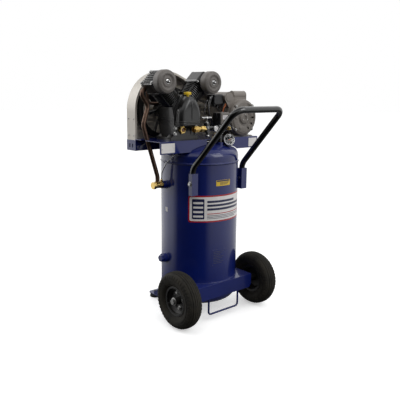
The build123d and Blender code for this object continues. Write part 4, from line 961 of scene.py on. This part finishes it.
for yy, z_ in ((96, 828), (136, 828), (96, 900), (136, 900)):
    lathe(bm, [(0, 2.4), (2.0, 2.2), (3.8, 1.2), (4.2, 0), (2, -0.4), (0, -0.4)], (-296.1, yy, z_), (-1, 0, 0), 20)
new_obj("guard_screws", bm, [M["zinc"]])
bm = bmesh.new()
# folded seam along the band's open lip
pts = []
G1, GR1 = (-124.0, 934.0), 172.0
for k in range(3):
    pts.append((-296.0 + 2.2, 86.2, 812 + 60 * k))
for k in range(0, 41):
    a = radians(180 - 112.5 * k / 40)
    pts.append((G1[0] + (GR1 - 2.2) * cos(a), 86.2, G1[1] + (GR1 - 2.2) * sin(a)))
for k in range(0, 21):
    a = radians(67.5 - 67.5 * k / 20)
    pts.append((196 + 75.8 * cos(a), 86.2, 900 + 75.8 * sin(a)))
pts.append((271.8, 86.2, 814))
sweep(bm, pts, 1.9, 10, 0)
new_obj("guard_bead", bm, [M["guard_silver"]], smooth=60)

# ------------------------------------------------------------------ motor
MX, MZ = 196.0, 901.0
bm = bmesh.new()
lathe(bm, [(0, 90), (9, 90), (11, 93.4), (20, 93.4), (22.5, 92.6), (24.5, 92.2)], (MX, 0, MZ), (0, -1, 0), 48)
for r, t, w in ((32.5, 88.2, 1.5), (69.0, 88.0, 1.6), (40.0, 88.1, 0.8)):
    sweep(bm, [(MX + r * cos(2 * pi * k / 72), -t, MZ + r * sin(2 * pi * k / 72)) for k in range(72)], w, 8, 0, True)
outer = [(68.2 * cos(radians(76 + 5 * k)), 68.2 * sin(radians(76 + 5 * k))) for k in range(43)]
inner = [(38.5 * cos(radians(76 + 5 * k)), 38.5 * sin(radians(76 + 5 * k))) for k in range(43)]
rows = []
for (ox, oz), (ix, iz) in zip(outer, inner):
    rows.append([bm.verts.new(P(MX + x_, y_, MZ + z_)) for x_, y_, z_ in ((ix, -87.6, iz), (ix, -88.9, iz), (ix + (ox - ix) * 0.03, -89.3, iz + (oz - iz) * 0.03), (ox - (ox - ix) * 0.03, -89.3, oz - (oz - iz) * 0.03), (ox, -88.9, oz), (ox, -87.6, oz))])
for a, b in zip(rows, rows[1:]):
    for q in range(6):
        bm.faces.new((a[q], a[(q + 1) % 6], b[(q + 1) % 6], b[q]))
bm.faces.new(rows[0][::-1])
bm.faces.new(rows[-1])
for r_, w_ in ((47.0, 1.5), (63.0, 1.5)):
    sweep(bm, [(MX + r_ * cos(2 * pi * k / 72), -88.0, MZ + r_ * sin(2 * pi * k / 72)) for k in range(72)], w_, 8, 0, True)
for a in (118, 180, 242):
    lathe(bm, [(0, 0), (7.5, 0), (7.5, 0.9), (6.5, 1.7), (0, 1.7)], (MX + 53 * cos(radians(a)), -89.2, MZ + 53 * sin(radians(a))), (0, -1, 0), 26)
for k in range(4):
    a = radians(45 + 90 * k)
    lathe(bm, [(0, -2), (8.5, -2), (8.0, 3.2), (7.2, 4.2), (0, 4.2)], (MX + 75.0 * cos(a), -84.0, MZ + 75.0 * sin(a)), (0, -1, 0), 24)
new_obj("motor_face_ribs", bm, [M["cast_grey"]], smooth=50)
bm = bmesh.new()
for k in range(4):
    a = radians(45 + 90 * k)
    bolt_head(bm, (MX + 75 * cos(a), -88.0, MZ + 75 * sin(a)), (0, -1, 0), 4.6, 3.0, True, 0)
for k in range(3):
    a = radians(90 + 120 * k)
    bolt_head(bm, (MX + 16 * cos(a), -93.2, MZ + 16 * sin(a)), (0, -1, 0), 3.2, 2.2, False, 0)
new_obj("motor_bolts", bm, [M["zinc"]])
bm = bmesh.new()
for yy in (-64.5, -61.0, 41.0, 44.5):
    sweep(bm, [(MX + 84.0 * cos(radians(17 + 326 * k / 90)), yy, MZ + 84.0 * sin(radians(17 + 326 * k / 90))) for k in range(91)], 0.9, 8, 0, rad=lambda f: 0.95 * min(1.0, 0.25 + 14 * min(f, 1 - f)))
# rolled seams along the shell
for a in (radians(-40), radians(222)):
    sweep(bm, [(MX + 84.2 * cos(a), y, MZ + 84.2 * sin(a)) for y in (-58, -20, 10, 38)], 1.2, 8, 0)
# capacitor covers: end beads and end discs
for (c0, c1) in (((122, 993), (146, 958)),):
    for yy in (-58.4, 44.4):
        pts = []
        d = atan2(c1[1] - c0[1], c1[0] - c0[0])
        for k in range(25):
            t = d + pi / 2 + pi * k / 24
            pts.append((c0[0] + 25 * cos(t), yy, c0[1] + 25 * sin(t)))
        pts.append((c0[0] + 25 * cos(d + pi * 1.5) + 6, yy, c0[1] + 25 * sin(d + pi * 1.5) - 8))
        sweep(bm, pts, 0.9, 8, 0)
    lathe(bm, [(0, 1.2), (17, 1.2), (18.5, 0.9), (19.5, 0), (17, -0.4), (0, -0.4)], (122, -60.2, 993), (0, -1, 0), 40)
for xx in (174, 250):
    pts = [(xx, -42, 984)] + [(xx, -22 + 20 * cos(radians(180 - 180 * k / 24)), 1003 + 20 * sin(radians(180 - 180 * k / 24))) for k in range(25)] + [(xx, -2, 984)]
    sweep(bm, pts, 0.9, 8, 0)
lathe(bm, [(0, 1.1), (13, 1.1), (14.5, 0.8), (15.2, 0), (13, -0.4), (0, -0.4)], (252.2, -22, 1003), (1, 0, 0), 36)
new_obj("motor_seams", bm, [M["motor_grey"]], smooth=50)
bm = bmesh.new()
A0 = radians(28)
seg = []
for i in range(13):
    a = A0 + radians(34) * (i / 12 - 0.5)
    seg.append([bm.verts.new(P(MX + rr * cos(a), y, MZ + rr * sin(a))) for rr, y in ((84.15, -45), (84.75, -44.4), (84.75, 24.4), (84.15, 25))])
for a, b in zip(seg, seg[1:]):
    for q in range(4):
        bm.faces.new((a[q], a[(q + 1) % 4], b[(q + 1) % 4], b[q]))
bm.faces.new(seg[0][::-1])
bm.faces.new(seg[-1])
for k in range(5):
    a = A0 + radians(-12 + 6 * k)
    sweep(bm, [(MX + 84.9 * cos(a), y, MZ + 84.9 * sin(a)) for y in (-38, -20, 0, 18 - 9 * (k % 2))], 0.55, 6, 1)
new_obj("motor_nameplate", bm, [M["foil_grey"], M["vinyl_navy"]])

# junction box between the capacitor and the right-hand cylinder, with its lid, screws and glands
bm = bmesh.new()
plate(bm, (70, -20, 962), (1, 0, 0), (0, 1, 0), (0, 0, 1), rrect(58, 50, 5), 45, 0, bev=1.8)
plate(bm, (70, -44.8, 984), (1, 0, 0), (0, 0, 1), (0, -1, 0), rrect(54, 40, 4), 3.0, 0, bev=1.2)
for dx in (-22, 22):
    for dz in (-15, 15):
        lathe(bm, [(0, 1.8), (2.0, 1.6), (3.2, 0.8), (3.4, 0), (0, -0.5)], (70 + dx, -47.6, 984 + dz), (0, -1, 0), 16)
lathe(bm, [(7.5, -1), (7.5, 5), (6.5, 6), (6.5, 9), (4.6, 10), (0, 10)], (56, -30, 962), (0, 0, -1), 24)
lathe(bm, [(7.5, -1), (7.5, 5), (6.5, 6), (6.5, 9), (4.6, 10), (0, 10)], (76, -30, 962), (0, 0, -1), 24)
new_obj("junction_box", bm, [M["plastic_black"]])
bm = bmesh.new()
for k, (dx, dy, dz, fall) in enumerate(((0, 0, 0, 0), (-15, -9, 5, 9), (-29, 3, -9, -7), (9, 11, 12, 4))):
    sweep(bm, catmull([(58 - 3 * k, -24, 998 - 9 * k), (38 + dx * 0.5, -40 + dy * 0.5, 999 - 7 * k + dz * 0.4), (12 + dx * 0.8, -58 + dy, 982 + dz), (-3 + dx * 0.8, -64 + dy, 948 + dz + fall), (1 + dx * 0.7, -66 + dy, 912 + fall), (20 + dx * 0.4, -62 + dy * 0.5, 886 + fall * 0.5), (47 - 2 * k, -54, 862 - 2 * k)], 12), 2.6, 10, 0)
sweep(bm, catmull([(76, -30, 953), (77, -33, 946), (79, -42, 936), (82, -52, 927)], 8), 3.6, 12, 0)
new_obj("harness", bm, [M["cable_black"]], smooth=60)
bm = bmesh.new()
for k, (dx, dz) in enumerate(((0, 0), (7, 4))):
    sweep(bm, catmull([(74 + dx, -66, 926), (75 + dx, -70, 938 + dz), (80 + dx, -72, 950 + dz), (90 + dx, -66, 955 + dz), (99 + dx * 0.6, -56, 962 + dz), (106 + dx * 0.3, -46, 970)], 8), 1.15, 8, 0)
new_obj("motor_leads", bm, [M["wire_orange"]], smooth=60)

# ------------------------------------------------------------------ pressure switch, gauges, fittings
bm = bmesh.new()
plate(bm, (72, -92.0, 898), (1, 0, 0), (0, 0, 1), (0, -1, 0), rrect(52, 50, 3), 0.9, 0, bev=0.3)
plate(bm, (72, -92.8, 906), (1, 0, 0), (0, 0, 1), (0, -1, 0), rrect(34, 18, 2), 0.5, 1, bev=0.1)
for k in range(3):
    plate(bm, (68, -93.2, 911 - 4.6 * k), (1, 0, 0), (0, 0, 1), (0, -1, 0), rrect(24 - 5 * k, 1.6, 0.6, 3), 0.25, 2)
new_obj("switch_front_plate", bm, [M["plastic_grey"], M["vinyl_white"], M["vinyl_navy"]])
bm = bmesh.new()
plate(bm, (44.0, -65, 899), (0, 1, 0), (0, 0, 1), (-1, 0, 0), rrect(50, 52, 4), 1.6, 0, bev=0.6)
plate(bm, (100.0, -65, 899), (0, 1, 0), (0, 0, 1), (1, 0, 0), rrect(50, 52, 4), 1.2, 0, bev=0.5)
plate(bm, (72, -65, 869.0), (1, 0, 0), (0, 1, 0), (0, 0, 1), rrect(58.4, 56.4, 5), 3.2, 0, bev=0.8)
for x_, s in ((45.5, -1), (101.0, 1)):
    for k in range(4):
        z_ = 882 + 5 * k
        sweep(bm, [(x_ - s * 0.4, -80, z_), (x_ - s * 0.4, -70, z_), (x_ - s * 0.4, -60, z_), (x_ - s * 0.4, -52, z_)], 0.8, 6, 0)
lathe(bm, [(9, -2), (9, 5), (8, 6), (8, 10), (5.2, 11.5), (0, 11.5)], (86, -58, 926.5), (0, 0, 1), 28)
new_obj("switch_sides", bm, [M["plastic_black"]])
bm = bmesh.new()
lathe(bm, [(0, 2.6), (3.4, 2.2), (5.0, 1.0), (5.2, 0), (0, -0.4)], (72, -65, 928), (0, 0, 1), 24)
new_obj("switch_cover_screw", bm, [M["zinc"]])

GN = Vector((-0.40, -0.87, 0.29)).normalized()
GC = Vector((66, -118, 804.5))
gu, gv, gw = basis(GN)
bm = bmesh.new()
lathe(bm, [(25.6, -0.6), (26.8, 0), (27.2, 2), (27.2, 12), (26.6, 13.2), (25.6, 13.2), (25.6, -0.6)], GC, GN, 56, 0)
for k in range(36):
    a = 2 * pi * k / 36
    d = gu * cos(a) + gv * sin(a)
    sweep(bm, [GC + d * 27.2 + GN * t for t in (1.5, 4.5, 8, 11.5)], 0.75, 6, 0)
lathe(bm, [(0, -0.3), (25.7, -0.3), (25.7, -1.4), (13, -2.4), (11.5, -6), (0, -6)], GC, GN, 48, 0)
new_obj("gauge_boot", bm, [M["rubber"]])
bm = bmesh.new()
lathe(bm, [(25.7, 13.0), (26.6, 13.6), (26.8, 16), (26.2, 18.6), (24.8, 20.2), (23.2, 20.2), (22.6, 19.0), (22.6, 18.0), (25.7, 13.0)], GC, GN, 64, 0)
new_obj("gauge_bezel", bm, [M["chrome"]])
bm = bmesh.new()
lathe(bm, [(0, 18.05), (22.8, 18.05), (22.8, 18.3), (0, 18.3)], GC, GN, 48, 0)
for k in range(41):
    a = radians(225 - 270 * k / 40)
    d = (gu * cos(a) + gv * sin(a))
    s = d.cross(GN)
    r0 = 16.5 if k % 5 == 0 else 18.4
    q = [GC + GN * 18.34 + d * r + s * o for r, o in ((r0, -0.28), (20.6, -0.28), (20.6, 0.28), (r0, 0.28))]
    bm.faces.new([bm.verts.new(P(*v)) for v in q]).material_index = 1
new_obj("gauge_dial", bm, [M["cable_black"], M["vinyl_white"]])
bm = bmesh.new()
d = (gu * cos(radians(205)) + gv * sin(radians(205)))
plate(bm, GC + GN * 18.7, d, d.cross(GN), GN, [(-6, -1.2), (-6, 1.2), (0, 0.9), (17.5, 0.15), (17.5, -0.15), (0, -0.9)], 0.35, 0)
lathe(bm, [(0, 19.6), (2.2, 19.3), (2.6, 18.5), (0, 18.4)], GC, GN, 20, 0)
new_obj("gauge_pointer", bm, [M["wire_orange"]])
bm = bmesh.new()
lathe(bm, [(0, 20.1), (8, 20.0), (16, 19.7), (22.9, 19.2), (22.9, 18.7), (16, 19.1), (8, 19.4), (0, 19.5)], GC, GN, 48, 0)
new_obj("gauge_lens", bm, [M["glass"]])

# small outlet gauge
bm = bmesh.new()
lathe(bm, [(12.6, 3), (13.6, 4), (13.8, 8), (13.2, 10.6), (12, 11.4), (11.2, 11.4), (11.0, 10.4), (12.6, 3)], (-22, -126, 861), (0, -1, 0), 44, 0)
new_obj("small_gauge_bezel", bm, [M["chrome"]])
bm = bmesh.new()
lathe(bm, [(0, 10.05), (11.1, 10.05), (11.1, 10.3), (0, 10.3)], (-22, -126, 861), (0, -1, 0), 40, 0)
for k in range(21):
    a = radians(225 - 270 * k / 20)
    q = [(-22 + r * cos(a + o), -136.36, 861 + r * sin(a + o)) for r, o in ((7.4 if k % 5 == 0 else 8.6, -0.03), (10.0, -0.03), (10.0, 0.03), (7.4 if k % 5 == 0 else 8.6, 0.03))]
    bm.faces.new([bm.verts.new(P(*v)) for v in q]).material_index = 1
a = radians(200)
plate(bm, (-22, -136.5, 861), (cos(a), 0, sin(a)), (-sin(a), 0, cos(a)), (0, -1, 0), [(-2.5, -0.7), (-2.5, 0.7), (0, 0.6), (8.4, 0.1), (8.4, -0.1), (0, -0.6)], 0.3, 1)
new_obj("small_gauge_dial", bm, [M["vinyl_white"], M["vinyl_navy"]])

# coupler knurl and grooves, barb-free nose
bm = bmesh.new()
for k in range(36):
    a = 2 * pi * k / 36
    sweep(bm, [(x_, -112 + 13.0 * cos(a), 861 + 13.0 * sin(a)) for x_ in (-126, -120, -112, -105)], 0.62, 6, 0)
for x_ in (-128.5, -101.0):
    sweep(bm, [(x_, -112 + 13.0 * cos(2 * pi * k / 40), 861 + 13.0 * sin(2 * pi * k / 40)) for k in range(40)], 0.8, 8, 0, True)
new_obj("coupler_knurl", bm, [M["brass"]], "coupler_ring", smooth=60)
bm = bmesh.new()
plate(bm, (-76.2, -112, 861), (0, 1, 0), (0, 0, 1), (1, 0, 0), hexpoly(15.2, 0.2), 9, 0, bev=1.4)
# compression nuts of the small control tube
for at, ax in (((-206, 18, 626), (0, 0, 1)), ((56, -72, 830), (0, 0, 1))):
    u, v, w = basis(ax)
    plate(bm, at, u, v, w, hexpoly(6.2, 0.2), 8, 0, bev=0.8)
    lathe(bm, [(4.6, 7.8), (4.2, 10.5), (2.7, 12), (0, 12)], at, ax, 20)
# crossover and discharge pipe nuts
for at, ax in (((-246, 37, 1036), (0, 1, 0)), ((-34, 37, 1036), (0, 1, 0))):
    u, v, w = basis(ax)
    plate(bm, at, u, v, w, hexpoly(12.5, 0.2), 10, 0, bev=1.3)
new_obj("compression_nuts", bm, [M["brass"]])
bm = bmesh.new()
for x_, s in ((-82, -1), (-36, 1)):
    lathe(bm, [(0, -3), (4.6, -3), (5.4, -1.8), (5.9, 0.8), (5.2, 3.0), (3.2, 4.6), (0, 5.2)], (x_, -112, 908), (s, 0, 0), 28)
lathe(bm, [(0, 5.5), (5.6, 5.0), (7.0, 3), (7.2, -3), (6.6, -6), (5, -8), (4.3, -9), (4.3, -16), (0, -16)], (-59, -112, 908), (0, 0, 1), 32)
new_obj("tee_ends", bm, [M["chrome"]], "tee_handle")
bm = bmesh.new()
for z in (848, 852.5, 857):
    sweep(bm, [(-59 + 17.0 * cos(2 * pi * k / 44), -112 + 17.0 * sin(2 * pi * k / 44), z + 14) for k in range(44)], 0.7, 8, 0, True)
plate(bm, (-59, -112, 884.5), (1, 0, 0), (0, 1, 0), (0, 0, 1), hexpoly(9.2, 0.1), 5, 0, bev=0.8)
lathe(bm, [(0, 0), (8.6, 0), (9.2, 0.8), (9.2, 6.5), (8.4, 7.2), (0, 7.2)], (-52, -112, 835), (0, 0, -1), 24)
new_obj("regulator_trim", bm, [M["chrome"]])

# handle: plugs in the tube's ends
bm = bmesh.new()
for sx in (-1, 1):
    lathe(bm, [(0, -1), (10.8, -1), (12.6, 0), (13.1, 1.2), (12.8, 2.6), (10.8, 3.0), (10.8, 6), (0, 6)], (sx * 148, -129, 584), (0, 0, 1), 32)
new_obj("handle_plugs", bm, [M["rubber"]])
# rear feet: ribs
bm = bmesh.new()
for fx, fy in ((-104.0, 216.0), (104.0, 216.0)):
    for k in range(10):
        a = 2 * pi * k / 10
        sweep(bm, [(fx + r * cos(a), fy + r * sin(a), z) for r, z in ((24.8, 4), (23.4, 9), (20.8, 15), (17.6, 20.5))], 1.1, 8, 0)
new_obj("foot_ribs", bm, [M["rubber"]], smooth=60)
# serpentine grooves of the belt: its outer cogs
bm = bmesh.new()
cxa, cza, ra = -140.0, 936.0, 118.5 + 4.05
cxb, czb, rb = 196.0, 901.0, 39.5 + 4.05
dd = sqrt((cxb - cxa) ** 2 + (czb - cza) ** 2)
base = atan2(czb - cza, cxb - cxa)
off = math.acos((ra - rb) / dd)
for yy in (108.9, 117.1):
    pts = []
    for k in range(61):
        t = base + off + (2 * pi - 2 * off) * k / 60
        pts.append((cxa + ra * cos(t), yy, cza + ra * sin(t)))
    for k in range(31):
        t = base - off + 2 * off * k / 30
        pts.append((cxb + rb * cos(t), yy, czb + rb * sin(t)))
    sweep(bm, pts, 0.5, 6, 0, True)
new_obj("belt_piping", bm, [M["rubber"]], smooth=60)
